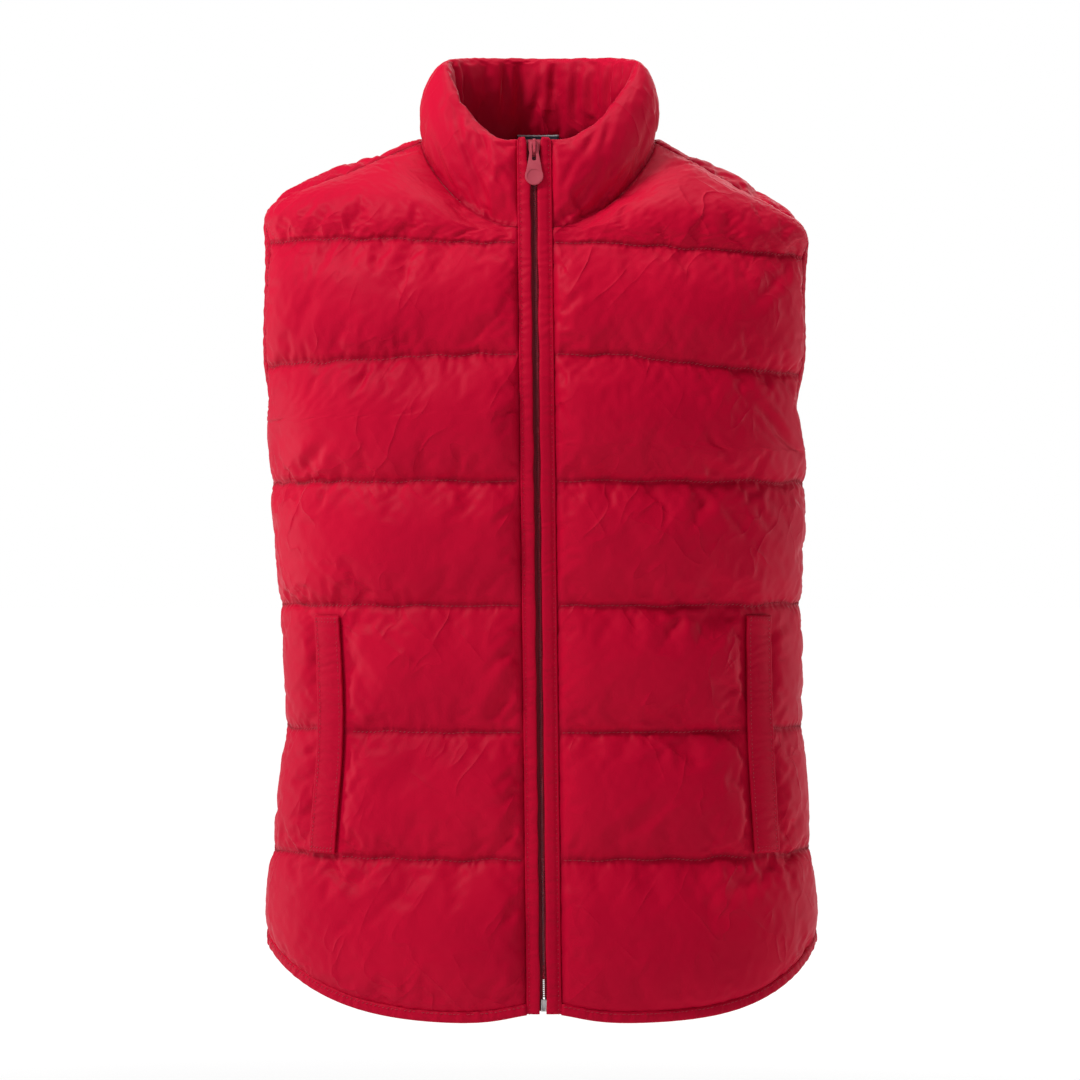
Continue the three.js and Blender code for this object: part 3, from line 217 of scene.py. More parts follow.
# Main creases: panel, start share and row, end share and row, half width, depth
CREASES = (
    (RIGHT, 0.515, 5.88, 0.495, 5.7, 3.5, 1.6),
    (RIGHT, 0.415, 5.79, 0.385, 5.65, 3.5, 1.4),
    (RIGHT, 0.5, 4.96, 0.55, 4.74, 4, 1.8),
    (RIGHT, 0.45, 4.98, 0.49, 4.79, 4, 1.6),
    (RIGHT, 0.55, 4.36, 0.665, 4.06, 5, 2.6),
    (RIGHT, 0.715, 5.58, 0.78, 5.25, 7, 1.6),
    (RIGHT, 0.005, 5.56, 0.07, 5.41, 3, 1.2),
    (RIGHT, 0.01, 4.6, 0.06, 4.46, 3, 1.3),
    (RIGHT, 0.01, 4.49, 0.07, 4.35, 3, 1.2),
    (RIGHT, 0.01, 3.81, 0.065, 3.69, 3, 1.2),
    (RIGHT, 0.01, 2.55, 0.125, 2.01, 5, 2.6),
    (RIGHT, 0.01, 2.43, 0.095, 2.04, 4, 2),
    (RIGHT, 0.01, 2.74, 0.11, 2.48, 4, 1.8),
    (RIGHT, 0.015, 2.23, 0.06, 2.05, 3.5, 1.8),
    (RIGHT, 0.43, 2.12, 0.5, 2.0, 4, 1.8),
    (RIGHT, 0.015, 1.5, 0.08, 1.04, 4.5, 2.2),
    (RIGHT, 0.015, 1.62, 0.075, 1.38, 4, 1.8),
    (RIGHT, 0.015, 1.35, 0.06, 1.06, 3.5, 1.8),
    (RIGHT, 0.02, 0.74, 0.065, 0.54, 3.5, 1.4),
    (RIGHT, 0.51, 2.93, 0.53, 2.33, 5, 1.8),
    (RIGHT, 0.63, 2.6, 0.685, 2.5, 3.5, 1.5),
    (RIGHT, 0.635, 2.44, 0.715, 2.3, 3.5, 1.4),
    (RIGHT, 0.655, 1.91, 0.695, 1.75, 4, 1.4),
    (RIGHT, 0.62, 1.44, 0.68, 1.25, 4, 1.6),
    (RIGHT, 0.575, 0.98, 0.54, 0.85, 4, 2.6),
    (RIGHT, 0.54, 0.85, 0.49, 0.81, 4, 2.4),
    (RIGHT, 0.49, 0.81, 0.485, 0.91, 4, 1.6),
    (RIGHT, 0.515, 0.48, 0.48, 0.54, 4, 1.2),
    (RIGHT, 0.02, 0.18, 0.085, 0.0, 3.5, 2.6),
    (RIGHT, 0.24, 2.74, 0.35, 2.26, 9, 1.2),
    (RIGHT, 0.145, 3.69, 0.26, 3.38, 9, 1.2),
    (RIGHT, 0.275, 1.79, 0.415, 1.46, 9, 1.2),
    (LEFT, 0.87, 5.9, 0.69, 5.5, 6, 2),
    (LEFT, 0.7, 4.74, 0.815, 4.34, 5, 2.4),
    (LEFT, 0.735, 4.5, 0.795, 4.29, 4, 1.8),
    (LEFT, 0.405, 4.2, 0.52, 4.0, 5, 2.8),
    (LEFT, 0.5, 4.44, 0.48, 4.25, 4, 1.6),
    (LEFT, 0.48, 3.86, 0.585, 3.51, 6, 2.4),
    (LEFT, 0.54, 3.88, 0.665, 3.6, 5, 1.8),
    (LEFT, 0.435, 3.89, 0.42, 3.76, 3, 1.6),
    (LEFT, 0.015, 5.34, 0.115, 5.54, 4, 1.6),
    (LEFT, 0.015, 5.1, 0.08, 5.0, 3.5, 1.2),
    (LEFT, 0.045, 4.85, 0.16, 4.79, 4, 1.2),
    (LEFT, 0.395, 2.95, 0.335, 2.78, 4, 1.8),
    (LEFT, 0.305, 2.96, 0.285, 2.86, 3.5, 1.2),
    (LEFT, 0.54, 2.96, 0.49, 2.81, 4, 1.8),
    (LEFT, 0.255, 2.14, 0.305, 1.99, 4, 2.4),
    (LEFT, 0.1, 2.21, 0.005, 2.02, 5, 1.6),
    (LEFT, 0.375, 1.9, 0.415, 1.73, 4, 1.8),
    (LEFT, 0.335, 1.93, 0.385, 1.68, 4, 1.3),
    (LEFT, 0.155, 1.15, 0.3, 1.43, 6, 1.8),
    (LEFT, 0.66, 2.31, 0.595, 2.06, 4, 1.8),
    (LEFT, 0.745, 2.23, 0.645, 1.95, 4, 1.4),
    (LEFT, 0.745, 1.18, 0.645, 1.04, 4, 1.6),
    (LEFT, 0.65, 1.51, 0.585, 1.31, 4, 1.6),
    (LEFT, 0.01, 0.9, 0.07, 0.76, 4, 1.8),
    (LEFT, 0.02, 0.7, 0.07, 0.69, 3.5, 1.2),
    (LEFT, 0.45, 0.76, 0.625, 0.84, 5, 2.4),
    (LEFT, 0.49, 0.54, 0.36, 0.75, 6, 1.5),
    (LEFT, 0.64, 2.71, 0.775, 2.89, 4, 1.5),
    (LEFT, 0.435, 5.26, 0.66, 4.9, 10, 1.4),
    (LEFT, 0.235, 5.83, 0.37, 5.49, 10, 1.2),
    (LEFT, 0.18, 3.54, 0.325, 3.21, 10, 1.2),
    (BACK, -0.52, 4.97, -0.48, 4.72, 4, 1.8),
    (BACK, -0.18, 4.95, -0.23, 4.78, 4, 1.5),
    (BACK, 0.35, 4.96, 0.3, 4.7, 4.5, 2),
    (BACK, 0.66, 4.4, 0.56, 4.1, 5, 2.4),
    (BACK, -0.72, 3.9, -0.6, 3.5, 6, 2.2),
    (BACK, -0.35, 3.95, -0.32, 3.7, 4, 1.6),
    (BACK, 0.12, 3.4, 0.02, 3.05, 5, 1.8),
    (BACK, 0.48, 2.95, 0.55, 2.6, 4.5, 2),
    (BACK, -0.15, 2.5, -0.28, 2.1, 7, 1.8),
    (BACK, 0.25, 2.1, 0.3, 1.85, 4, 1.8),
    (BACK, 0.74, 2.3, 0.62, 2.02, 5, 2),
    (BACK, -0.66, 1.92, -0.6, 1.62, 4.5, 2),
    (BACK, -0.44, 1.1, -0.36, 0.86, 4, 2),
    (BACK, 0.06, 0.98, 0.1, 0.66, 5, 1.6),
    (BACK, 0.42, 0.6, 0.26, 0.2, 7, 1.8),
    (BACK, -0.2, 5.9, -0.25, 5.6, 4, 1.6),
    (BACK, 0.5, 5.92, 0.56, 5.66, 4, 1.8),
    (BACK, -0.6, 5.5, -0.45, 5.2, 7, 1.6),
    (BACK, 0.1, 6.1, 0.16, 6.35, 5, 1.5),
    (BACK, -0.34, 6.08, -0.38, 6.4, 5, 1.6),
)
# Places where cloth is gathered into a quilting line: panel, line, from share, to share, spare cloth
GATHERS = (
    (RIGHT, 6, 0.36, 0.56, 0.03),
    (RIGHT, 5, 0.38, 0.58, 0.03),
    (RIGHT, 4, 0.08, 0.22, 0.02),
    (RIGHT, 4, 0.6, 0.85, 0.03),
    (RIGHT, 3, 0.55, 0.8, 0.035),
    (RIGHT, 1, 0.4, 0.7, 0.035),
    (LEFT, 4, 0.36, 0.62, 0.035),
    (LEFT, 3, 0.25, 0.6, 0.03),
    (LEFT, 2, 0.25, 0.45, 0.025),
    (LEFT, 1, 0.45, 0.8, 0.03),
    (LEFT, 5, 0.6, 0.9, 0.02),
    (BACK, 1, -0.6, -0.3, 0.03),
    (BACK, 2, 0.15, 0.5, 0.03),
    (BACK, 3, -0.8, -0.45, 0.03),
    (BACK, 4, 0.3, 0.7, 0.03),
    (BACK, 5, -0.5, -0.1, 0.03),
    (BACK, 6, 0.1, 0.5, 0.03),
    (BACK, 7, -1.0, -0.42, 0.04),
    (BACK, 7, 0.42, 1.0, 0.04),
)
# Cloth of the simulation, how far it may swell, and the form of the creases put in after it
CLOTH_QUALITY = 4
CLOTH_MASS = 0.3
CLOTH_STIFF = 15
CLOTH_SHEAR = 5
CLOTH_BEND = 0.7
CLOTH_DAMPING = 8
BEND_DAMPING = 1
AIR_DAMPING = 3
SETTLE_FRAMES = 22
PANEL_SWELL = 6.0
COLLAR_SWELL = 3.4
GROOVE_HALF = 9
CREASE_RIDGE = 0.32
COLLAR_RIDGE = 0.3

# Neck tab
TAB_HALF = 17
TAB_RISE = 5.5
TAB_DROP = 20
TAB_IN = 9.6
TAB_THICK = 0.9
# Zip: the coil's turns, the pull tab about its hinge, and the foot
COIL_PITCH = 1.5
COIL_ENDS = (-659, -17.5)
COIL_ASIDE = 0.72
COIL_SLANT = 0.16
PULL_PIVOT = (-2.919, -107.132, -7.0)
PULL_THICK = 1.8
PULL_DISC = (7, -26)
PULL_DISH = (5.3, 0.7)
PULL_SLOT = (3.2, 6, 13.1)
PULL_SLOT_Z = -7.45
# Half widths of the pull tab's neck up from its disc, each with its height
PULL_NECK = ((-18.1, 5.4), (-13.7, 4.6), (-9.7, 3.9), (-6, 3.3), (0.9, 2.9))
PULL_CUT = (-22.6, 6.12)
FOOT_SIZE = (4.6, 3.0, 9.0)
FOOT_Z = -665.5
FOOT_FORWARD = 2.6
SOFT_EDGE = math.radians(35)

# Stage, in metres but for the camera. Lights: name, size, watts, place, what it points at
CAMERA = (1.6, -2700, -312)
LENS = 112.5
SENSOR = 36
FLOOR_Z = -0.98
FLOOR_SIZE = 60
ROOM_LIGHT = 0.2
LIGHTS = (
    ("key", (0.9, 0.9), 90, (-1.9, -1.3, 2.1), (0, 0, -0.3)),
    ("front", (2.4, 2.4), 4, (-0.8, -3.6, 0.2), (0, 0, -0.35)),
    ("strip_right", (0.4, 1.6), 14, (-1.9, 0.5, -0.2), (0, 0, -0.35)),
    ("strip_left", (0.4, 1.6), 11, (1.9, 0.7, -0.2), (0, 0, -0.35)),
    ("top", (1.2, 1.2), 26, (0.2, 0.2, 1.9), (0, 0, -0.1)),
    ("behind", (2.0, 2.0), 28, (0.7, 2.8, 0.9), (0, 0, -0.3)),
)


def smooth(x, low, high):
    """From 0 at low to 1 at high, with soft ends."""
    t = np.clip((np.asarray(x, float) - low) / (high - low), 0, 1)
    return t * t * (3 - 2 * t)


def mix(a, b, t):
    return a + (b - a) * t


def unit(v):
    return v / np.maximum(np.linalg.norm(v, axis=-1, keepdims=True), 1e-9)


def hermite(p0, t0, p1, t1, t):
    t2, t3 = t * t, t * t * t
    return (2 * t3 - 3 * t2 + 1) * p0 + (t3 - 2 * t2 + t) * t0 + (3 * t2 - 2 * t3) * p1 + (t3 - t2) * t1


def through(x, y, at):
    """Smooth curve through a table of x and y."""
    k = np.arange(len(x))
    low, high = np.maximum(k - 1, 0), np.minimum(k + 1, len(x) - 1)
    slope = (y[high] - y[low]) / (x[high] - x[low])
    i = np.clip(np.searchsorted(x, at, side="right") - 1, 0, len(x) - 2)
    span = x[i + 1] - x[i]
    t = np.clip((at - x[i]) / span, -0.5, 1.5)
    return hermite(y[i], slope[i] * span, y[i + 1], slope[i + 1] * span, t)


def form(z):
    z = np.asarray(z, float)
    return [through(FORM[:, 0], FORM[:, column], z) for column in (1, 2, 3, 4)]


def form_point(angle, z):
    """A point of the form; angle 0 is in front and a positive one goes to the wearer's left."""
    right, left, front, back = form(z)
    s, c = np.sin(angle), np.cos(angle)
    half, depth = np.where(s < 0, right, left), np.where(c > 0, front, back)
    r = (np.abs(s / half) ** SQUARENESS + np.abs(c / depth) ** SQUARENESS) ** (-1 / SQUARENESS)
    return np.stack([r * s, -r * c, z + 0 * r], -1)


def form_normal(p):
    angle, z = np.arctan2(p[..., 0], -p[..., 1]), p[..., 2]
    around = form_point(angle + 0.004, z) - form_point(angle - 0.004, z)
    return unit(np.cross(around, form_point(angle, z + 0.5) - form_point(angle, z - 0.5)))


def angle_at_x(x, z):
    right, left, front, _ = form(z)
    half = right if x < 0 else left
    return math.atan2(x, front * (1 - abs(x / half) ** SQUARENESS) ** (1 / SQUARENESS))


def angle_at_y(y, z, side):
    right, left, front, back = form(z)
    half, depth = (right if side < 0 else left), (front if y < 0 else back)
    return math.atan2(side * half * (1 - abs(y / depth) ** SQUARENESS) ** (1 / SQUARENESS), -y)


def zip_x(z):
    return ZIP_TOP_X - ZIP_LEAN * z


def hem_z(angle):
    """The finished hem: high at the sides, low in front and behind, lifted a little at the zip."""
    p = form_point(angle, HEM_SIDE)
    x = p[..., 0]
    right, left, _, _ = form(HEM_SIDE)
    share = np.clip(np.abs(x) / np.where(x < 0, right, left), 0, 1)
    lift = np.where(p[..., 1] < 0, HEM_ZIP_LIFT * np.exp(-(((x - zip_x(HEM_LOW)) / HEM_ZIP_REACH) ** 2)), 0)
    roundness = np.where(x < 0, HEM_ROUNDNESS[RIGHT], HEM_ROUNDNESS[LEFT])
    return mix(HEM_SIDE, HEM_LOW, 1 - share**roundness) + lift


def line_z(line, angle):
    z, right, left = line
    s = np.sin(angle)
    return z - smooth(np.abs(s), 0.35, 1) * np.where(s < 0, right, left)


def row_z(row, angle):
    """Height of a row at an angle: row 0 is the hem and rows 1 to 6 are the quilting lines."""
    if row <= 1:
        return mix(hem_z(angle) + HEM_BAND, line_z(LINES[0], angle), row)
    if row <= 6:
        i = min(int(row), 5)
        return mix(line_z(LINES[i - 1], angle), line_z(LINES[i], angle), row - i)
    return mix(line_z(LINES[5], angle), line_z(YOKE, angle), (row - 6) / (YOKE_ROW - 6))


def row_end(row, side, is_back):
    """The angle where a row ends, on the side seam or on the armhole's edge."""
    top, bottom, front, back = ARMHOLE[side]
    z = float(row_z(row, side * math.pi / 2))
    if row <= 1 or z <= bottom:
        return side * math.pi / 2
    middle = (top + bottom) / 2
    share = min(abs(z - middle) / (top - middle), 1)
    reach = (back if is_back else front) * (1 - share**ARMHOLE_ROUNDNESS) ** (1 / ARMHOLE_ROUNDNESS)
    return angle_at_y(reach if is_back else -reach, z, side)


@functools.lru_cache(maxsize=None)
def row_curve(side, is_back, row):
    """Half a row as points and the length up to each, from the centre to the side."""
    z = float(row_z(row, 0))
    start = side * math.pi if is_back else angle_at_x(zip_x(z) + side * PANEL_EDGE, z)
    angles = np.linspace(start, row_end(row, side, is_back), 65)
    points = form_point(angles, row_z(row, angles))
    steps = np.linalg.norm(np.diff(points, axis=0), axis=1)
    return points, np.concatenate([[0], np.cumsum(steps)])


def row_length(side, is_back, row):
    return row_curve(side, is_back, min(row, YOKE_ROW))[1][-1]


def along(side, is_back, row, share):
    points, lengths = row_curve(side, is_back, row)
    at = share * lengths[-1]
    return np.stack([np.interp(at, lengths, points[:, k]) for k in range(3)], -1)


def shoulder_seam(side, share):
    """The shoulder seam, from the neck to the armhole."""
    rise = SHOULDER_RISE[side] * 4 * share * (1 - share)
    x, y, z = (mix(a, b, share) for a, b in zip(NECK_POINT, SHOULDER_TIP[side]))
    return np.stack([side * x, y, z + rise], -1)


def back_neckline(side, share):
    start, end = np.array([0, *NECK_BACK]), np.array([side * NECK_POINT[0], *NECK_POINT[1:]])
    t = np.asarray(share, float)[..., None]
    return hermite(start, np.array([side * 128, 0, 0]), end, np.array([side * -12, -128, -40]), t)


def across_shoulder(side, share):
    return np.stack([side * mix(8, 0, share), mix(120, 44, share), mix(62, 14, share)], -1)


def up_from_yoke(side, is_back, share, length):
    up = along(side, is_back, YOKE_ROW, share) - along(side, is_back, YOKE_ROW - 0.1, share)
    return unit(up) * np.asarray(length)[..., None]


def front_point(side, share, row):
    share = np.clip(np.asarray(share, float), 0, 1)
    if row <= YOKE_ROW:
        return along(side, False, row, share)
    up = up_from_yoke(side, False, share, mix(95, 26, share))
    up = mix(up, np.array([side * 122, 15, 0]), 1 - smooth(share, 0, 0.45)[..., None])
    t = (row - YOKE_ROW) / (TOP_ROW - YOKE_ROW)
    start = along(side, False, YOKE_ROW, share)
    return hermite(start, up, shoulder_seam(side, share), across_shoulder(side, share), t)


def back_half(side, out, row):
    if row <= YOKE_ROW:
        return along(side, True, row, out)
    up = up_from_yoke(side, True, out, mix(80, 52, smooth(out, 0.2, 1)))
    on_shoulder = np.clip((out - NECK_SHARE) / (1 - NECK_SHARE), 0, 1)
    on_neck = np.clip(out / NECK_SHARE, 0, 1)
    inside = (out < NECK_SHARE)[..., None]
    end = np.where(inside, back_neckline(side, on_neck), shoulder_seam(side, on_shoulder))
    corner = 1 - smooth(on_shoulder, 0, 0.75)[..., None]
    over = across_shoulder(side, on_shoulder) * -mix(1.5, 0.62, corner)
    over = over + unit(shoulder_seam(side, np.float64(0)) - shoulder_seam(side, np.float64(1))) * 74 * corner
    over = np.where(inside, mix(over, np.array([0, -28, 58]), 1 - on_neck[..., None]), over)
    t = (row - YOKE_ROW) / (TOP_ROW - YOKE_ROW)
    return hermite(along(side, True, YOKE_ROW, out), up, end, over, t)


def back_point(share, row):
    share = np.clip(np.asarray(share, float), -1, 1)
    halves = [back_half(side, np.abs(share), row) for side in (RIGHT, LEFT)]
    return np.where((share < 0)[..., None], *halves)


def panel_point(panel, share, row):
    return back_point(share, row) if panel == BACK else front_point(panel, share, row)


def measured_normal(panel, share, row, step):
    around = panel_point(panel, share + step, row) - panel_point(panel, share - step, row)
    up = panel_point(panel, share, min(row + step, TOP_ROW)) - panel_point(panel, share, row - step)
    return unit(np.cross(around, up) * (-1 if panel == BACK else panel))


def panel_normal(panel, share, row):
    """Direction out of the cloth, away from the wearer."""
    blend = float(smooth(row, YOKE_ROW, YOKE_ROW + 0.22))
    if blend == 1:
        return measured_normal(panel, share, row, 0.004)
    on_form = form_normal(panel_point(panel, share, min(row, YOKE_ROW)))
    if blend == 0:
        return on_form
    return unit(mix(on_form, measured_normal(panel, share, max(row, YOKE_ROW + 0.1), 0.02), blend))


def near_line(share, row, line, wide, tall):
    """The nearest place of a fold's line, as a share of its length, and the distance to it."""
    share0, row0, share1, row1 = line
    ax, ay = (share1 - share0) * wide, (row1 - row0) * tall
    px, py = (share - share0) * wide, (row - row0) * tall
    t = np.clip((px * ax + py * ay) / (ax * ax + ay * ay), 0, 1)
    return t, np.hypot(px - t * ax, py - t * ay)


def fold_depth(folds, share, row):
    """How deep the soft folds are at a place of a panel."""
    depth = 0.0 * share
    for _, *line, half, deep in folds:
        off = near_line(share, row, line, SHARE_LENGTH, ROW_LENGTH)[1] / half
        depth = depth + deep * np.exp(-off * off)
    return depth


def trough(share, row, crease, wide, tall, ridge):
    """Depth of a crease that tapers to its ends, with a soft ridge to both sides."""
    *line, half, deep = crease
    t, far = near_line(share, row, line, wide, tall)
    off = far / half
    ends = 1 - 0.7 * smooth(np.abs(2 * t - 1), 0.1, 1)
    return deep * ends * (np.exp(-off * off) - ridge * np.exp(-((off - 1.9) ** 2)))


def quarter_round(distance, reach):
    return np.sqrt(1 - (1 - np.clip(distance / reach, 0, 1)) ** 2)


def channel_crown(row):
    channel = min(int(row), len(CROWNS) - 1)
    t = min(max(row - channel, 0), 1)
    return CROWNS[channel] * (4 * t * (1 - t)) ** CROWN_SHAPE


def towards_side(p, side):
    """Share of the crown beside an armhole and beside the side seam below it."""
    top, bottom, front, back = ARMHOLE[side]
    y, z = p[..., 1], p[..., 2] - (top + bottom) / 2
    across = np.abs(y) / np.where(y < 0, front, back)
    ring = across**ARMHOLE_ROUNDNESS + np.abs(2 * z / (top - bottom)) ** ARMHOLE_ROUNDNESS
    ring = ring ** (1 / ARMHOLE_ROUNDNESS)
    from_hole = np.hypot(y, z) * (1 - 1 / np.maximum(ring, 1))
    above = smooth(p[..., 2] - bottom, -40, 40)
    beside = mix(SIDE_SEAM_CROWN, 1, smooth(np.abs(y), 0, SIDE_SEAM_REACH))
    return mix(beside, 1, above) * quarter_round(from_hole, CROWN_EDGE)


@functools.lru_cache(maxsize=None)
def neck_edge_points(side):
    rows = np.linspace(YOKE_ROW, TOP_ROW, 25)
    return np.array([front_point(side, 0.0, row) for row in rows])


def towards_neck(p, side):
    far = np.linalg.norm(p[:, None, :] - neck_edge_points(side)[None], axis=-1).min(axis=1)
    return np.sin(np.clip((far - 1) / NECK_REACH, 0, 1) * math.pi / 2)


def under_welt(side, share, row):
    """1 where the panel lies flat under a welt."""
    low, high = WELT[side]
    beside = 1 - smooth(np.abs(share - (low + high) / 2), (high - low) / 2, (high - low) / 2 + 0.045)
    return beside * smooth(row, 0.8, 1.1) * (1 - smooth(row, 2.85, 3.12))


def panel_crown(panel, share, row):
    """How far the filling stands out before folds, and the share of the crown towards the edges."""
    low = min(row, YOKE_ROW)
    if panel == BACK:
        below = np.where(share < 0, *(towards_side(back_point(share, low), side) for side in (RIGHT, LEFT)))
        lengths = np.where(share < 0, *(row_length(side, True, row) for side in (RIGHT, LEFT)))
        above = quarter_round((1 - np.abs(share)) * lengths, CROWN_EDGE)
        return channel_crown(row) * mix(below, above, smooth(row, 5.3, 6))
    total = row_length(panel, False, row)
    zip_edge = mix(quarter_round(share * total, CROWN_EDGE), 1, smooth(row, 6, YOKE_ROW))
    below = towards_side(front_point(panel, share, low), panel)
    side_edge = mix(below, quarter_round((1 - share) * total, CROWN_EDGE), smooth(row, 5.3, 6))
    neck_edge = towards_neck(front_point(panel, share, row), panel) if row > 5 else 1
    return channel_crown(row) * zip_edge * side_edge * neck_edge


def panel_filling(panel, share, row):
    """Thickness of the wall: the filled channel less its folds, and flat under a welt."""
    crown = panel_crown(panel, share, row)
    folds = [fold for fold in FOLDS if fold[0] == panel]
    folded = np.maximum(crown - fold_depth(folds, share, row) * np.minimum(1, crown / 8), 0)
    if panel != BACK:
        folded = mix(folded, WELT_BED, under_welt(panel, share, row))
    return WALL + folded


def panel_offset(panel, share, row, height):
    """Points of a panel moved out of the form, stopping a seam gap short of its edges."""
    share = np.asarray(share, float)
    if panel == BACK:
        lengths = np.where(share < 0, *(row_length(side, True, row) for side in (RIGHT, LEFT)))
    else:
        lengths = row_length(panel, False, row)
    share = np.sign(share) * np.minimum(np.abs(share), 1 - SEAM_GAP / lengths)
    row = min(row, LAST_ROW)
    return panel_point(panel, share, row) + panel_normal(panel, share, row) * np.asarray(height)[..., None]


def zip_point(z):
    """The line of the closed zip, down the front from the collar's top."""
    z = np.asarray(z, float)
    y = np.where(z <= YOKE[0], -form(z)[2], -form(YOKE[0])[2] + COLLAR_LEAN * (z - YOKE[0]))
    return np.stack([zip_x(z), y, z], -1)


def ripple(x, wavelength, seed):
    """Smooth uneven wave along x, about -1 to 1, the same on each run."""
    draw = np.random.default_rng(seed)
    lengths, phases = wavelength * draw.uniform(0.55, 1.9, 5), draw.uniform(0, 2 * math.pi, 5)
    return sum(np.sin(2 * math.pi * np.asarray(x) / w + p) for w, p in zip(lengths, phases)) / 2.6


def doubled(grid, axis):
    """A grid with a smooth line of points put between each two, along one axis."""
    g = np.moveaxis(grid, axis, 0)
    wide = np.concatenate([2 * g[:1] - g[1:2], g, 2 * g[-1:] - g[-2:-1]])
    middle = (9 * (wide[1:-2] + wide[2:-1]) - wide[:-3] - wide[3:]) / 16
    out = np.empty((2 * len(g) - 1, *g.shape[1:]))
    out[::2], out[1::2] = g, middle
    return np.moveaxis(out, 0, axis)


def grid_quads(rows, columns, start=0):
    i = np.arange(rows * columns).reshape(rows, columns) + start
    return np.stack([i[:-1, :-1], i[:-1, 1:], i[1:, 1:], i[1:, :-1]], -1).reshape(-1, 4).tolist()


def rim(rows, columns, start=0):
    """Indices of a grid's border and how far round it each is, from 0 to 4."""
    i = np.arange(len(rows) * len(columns)).reshape(len(rows), len(columns)) + start
    up = (rows - rows[0]) / (rows[-1] - rows[0])
    out = (columns - columns[0]) / (columns[-1] - columns[0])
    ids = [i[0, :-1], i[:-1, -1], i[-1, :0:-1], i[:0:-1, 0], i[0, :1]]
    keys = [out[:-1], 1 + up[:-1], 3 - out[:0:-1], 4 - up[:0:-1], [4.0]]
    return np.concatenate(ids).tolist(), np.concatenate(keys).tolist()


def ladder(line, other):
    """Triangles between two borders that run the same way, each as indices and keys."""
    (a, ka), (b, kb) = line, other
    faces, i, j = [], 0, 0
    while i < len(a) - 1 or j < len(b) - 1:
        here = ka[i] + ka[i + 1] if i < len(a) - 1 else math.inf
        there = kb[j] + kb[j + 1] if j < len(b) - 1 else math.inf
        if here <= there:
            faces.append((a[i], b[j], a[i + 1]))
            i += 1
        else:
            faces.append((a[i], b[j], b[j + 1]))
            j += 1
    return faces


def link_mesh(name, points, faces, flipped=False):
    """A new object from points in millimetres, smooth shaded."""
    mesh = bpy.data.meshes.new(name)
    faces = [face[::-1] for face in faces] if flipped else faces
    mesh.from_pydata((np.asarray(points).reshape(-1, 3) * MM).tolist(), [], faces)
    mesh.shade_smooth()
    piece = bpy.data.objects.new(name, mesh)
    bpy.context.scene.collection.objects.link(piece)
    return piece


def settle(grid, held, spare, pressure, flipped, swell=PANEL_SWELL):
    """Cloth simulation of a stitched sheet that air fills.

    Held points stay, spare is a share of extra cloth, and no point goes further than swell.
    """
    rows, columns = grid.shape[:2]
    cloth = link_mesh("settling", grid, grid_quads(rows, columns), flipped)
    pins = cloth.vertex_groups.new(name="stitched")
    pins.add(np.flatnonzero(held.ravel()).tolist(), 1, "REPLACE")
    taut = cloth.vertex_groups.new(name="taut")
    most = float(spare.max())
    for level in range(1, 9):
        at = np.flatnonzero(np.round((1 - spare.ravel() / most) * 8) == level)
        taut.add(at.tolist(), level / 8, "REPLACE")
    modifier = cloth.modifiers.new("Cloth", "CLOTH")
    settings = modifier.settings
    settings.quality = CLOTH_QUALITY
    settings.mass = CLOTH_MASS
    settings.tension_stiffness = settings.compression_stiffness = CLOTH_STIFF
    settings.shear_stiffness = CLOTH_SHEAR
    settings.bending_stiffness = CLOTH_BEND
    settings.tension_damping = settings.compression_damping = settings.shear_damping = CLOTH_DAMPING
    settings.bending_damping = BEND_DAMPING
    settings.air_damping = AIR_DAMPING
    settings.vertex_group_mass = "stitched"
    settings.vertex_group_shrink = "taut"
    settings.shrink_min = -most
    settings.shrink_max = 0
    settings.use_pressure = True
    settings.uniform_pressure_force = pressure
    settings.effector_weights.gravity = 0
    modifier.collision_settings.use_collision = False
    modifier.point_cache.frame_end = SETTLE_FRAMES
    scene = bpy.context.scene
    for frame_number in range(1, SETTLE_FRAMES + 1):
        scene.frame_set(frame_number)
    shown = cloth.evaluated_get(bpy.context.evaluated_depsgraph_get())
    points = np.empty(rows * columns * 3, np.float32)
    shown.data.vertices.foreach_get("co", points)
    mesh = cloth.data
    bpy.data.objects.remove(cloth)
    bpy.data.meshes.remove(mesh)
    scene.frame_set(1)
    moved = points.reshape(rows, columns, 3).astype(float) / MM - grid
    far = np.maximum(np.linalg.norm(moved, axis=-1, keepdims=True), 1e-6)
    return grid + moved * np.tanh(far / swell) * swell / far


def panel_sides(panel):
    return (RIGHT, LEFT) if panel == BACK else (panel,)


def armhole_start(side):
    """The row where an armhole starts, and the rows to one millimetre there."""
    low, high = (float(row_z(row, side * math.pi / 2)) for row in (4, 5))
    return 4 + (ARMHOLE[side][1] - low) / (high - low), 1 / (high - low)


def panel_rows(panel, step):
    """Rows of a panel's grid: even between the quilting lines, and closer where an armhole starts."""
    count = round(ROW_LENGTH / step)
    rows = [k + i / count for k in range(6) for i in range(count)]
    rows += list(np.linspace(6, 7, round(1.5 * count) + 1))
    for side in panel_sides(panel):
        start, each = armhole_start(side)
        extra = [start + each * rise for rise in (0, 1.4, 4.4, 8.8)]
        rows = [row for row in rows if not extra[0] - 2 * each < row < extra[-1] + 2 * each] + extra
    return np.array(sorted(rows))


def panel_shares(panel, step):
    half = np.linspace(0, 1, round(PANEL_WIDTH / step) + 1)
    return np.concatenate([-half[:0:-1], half]) if panel == BACK else half


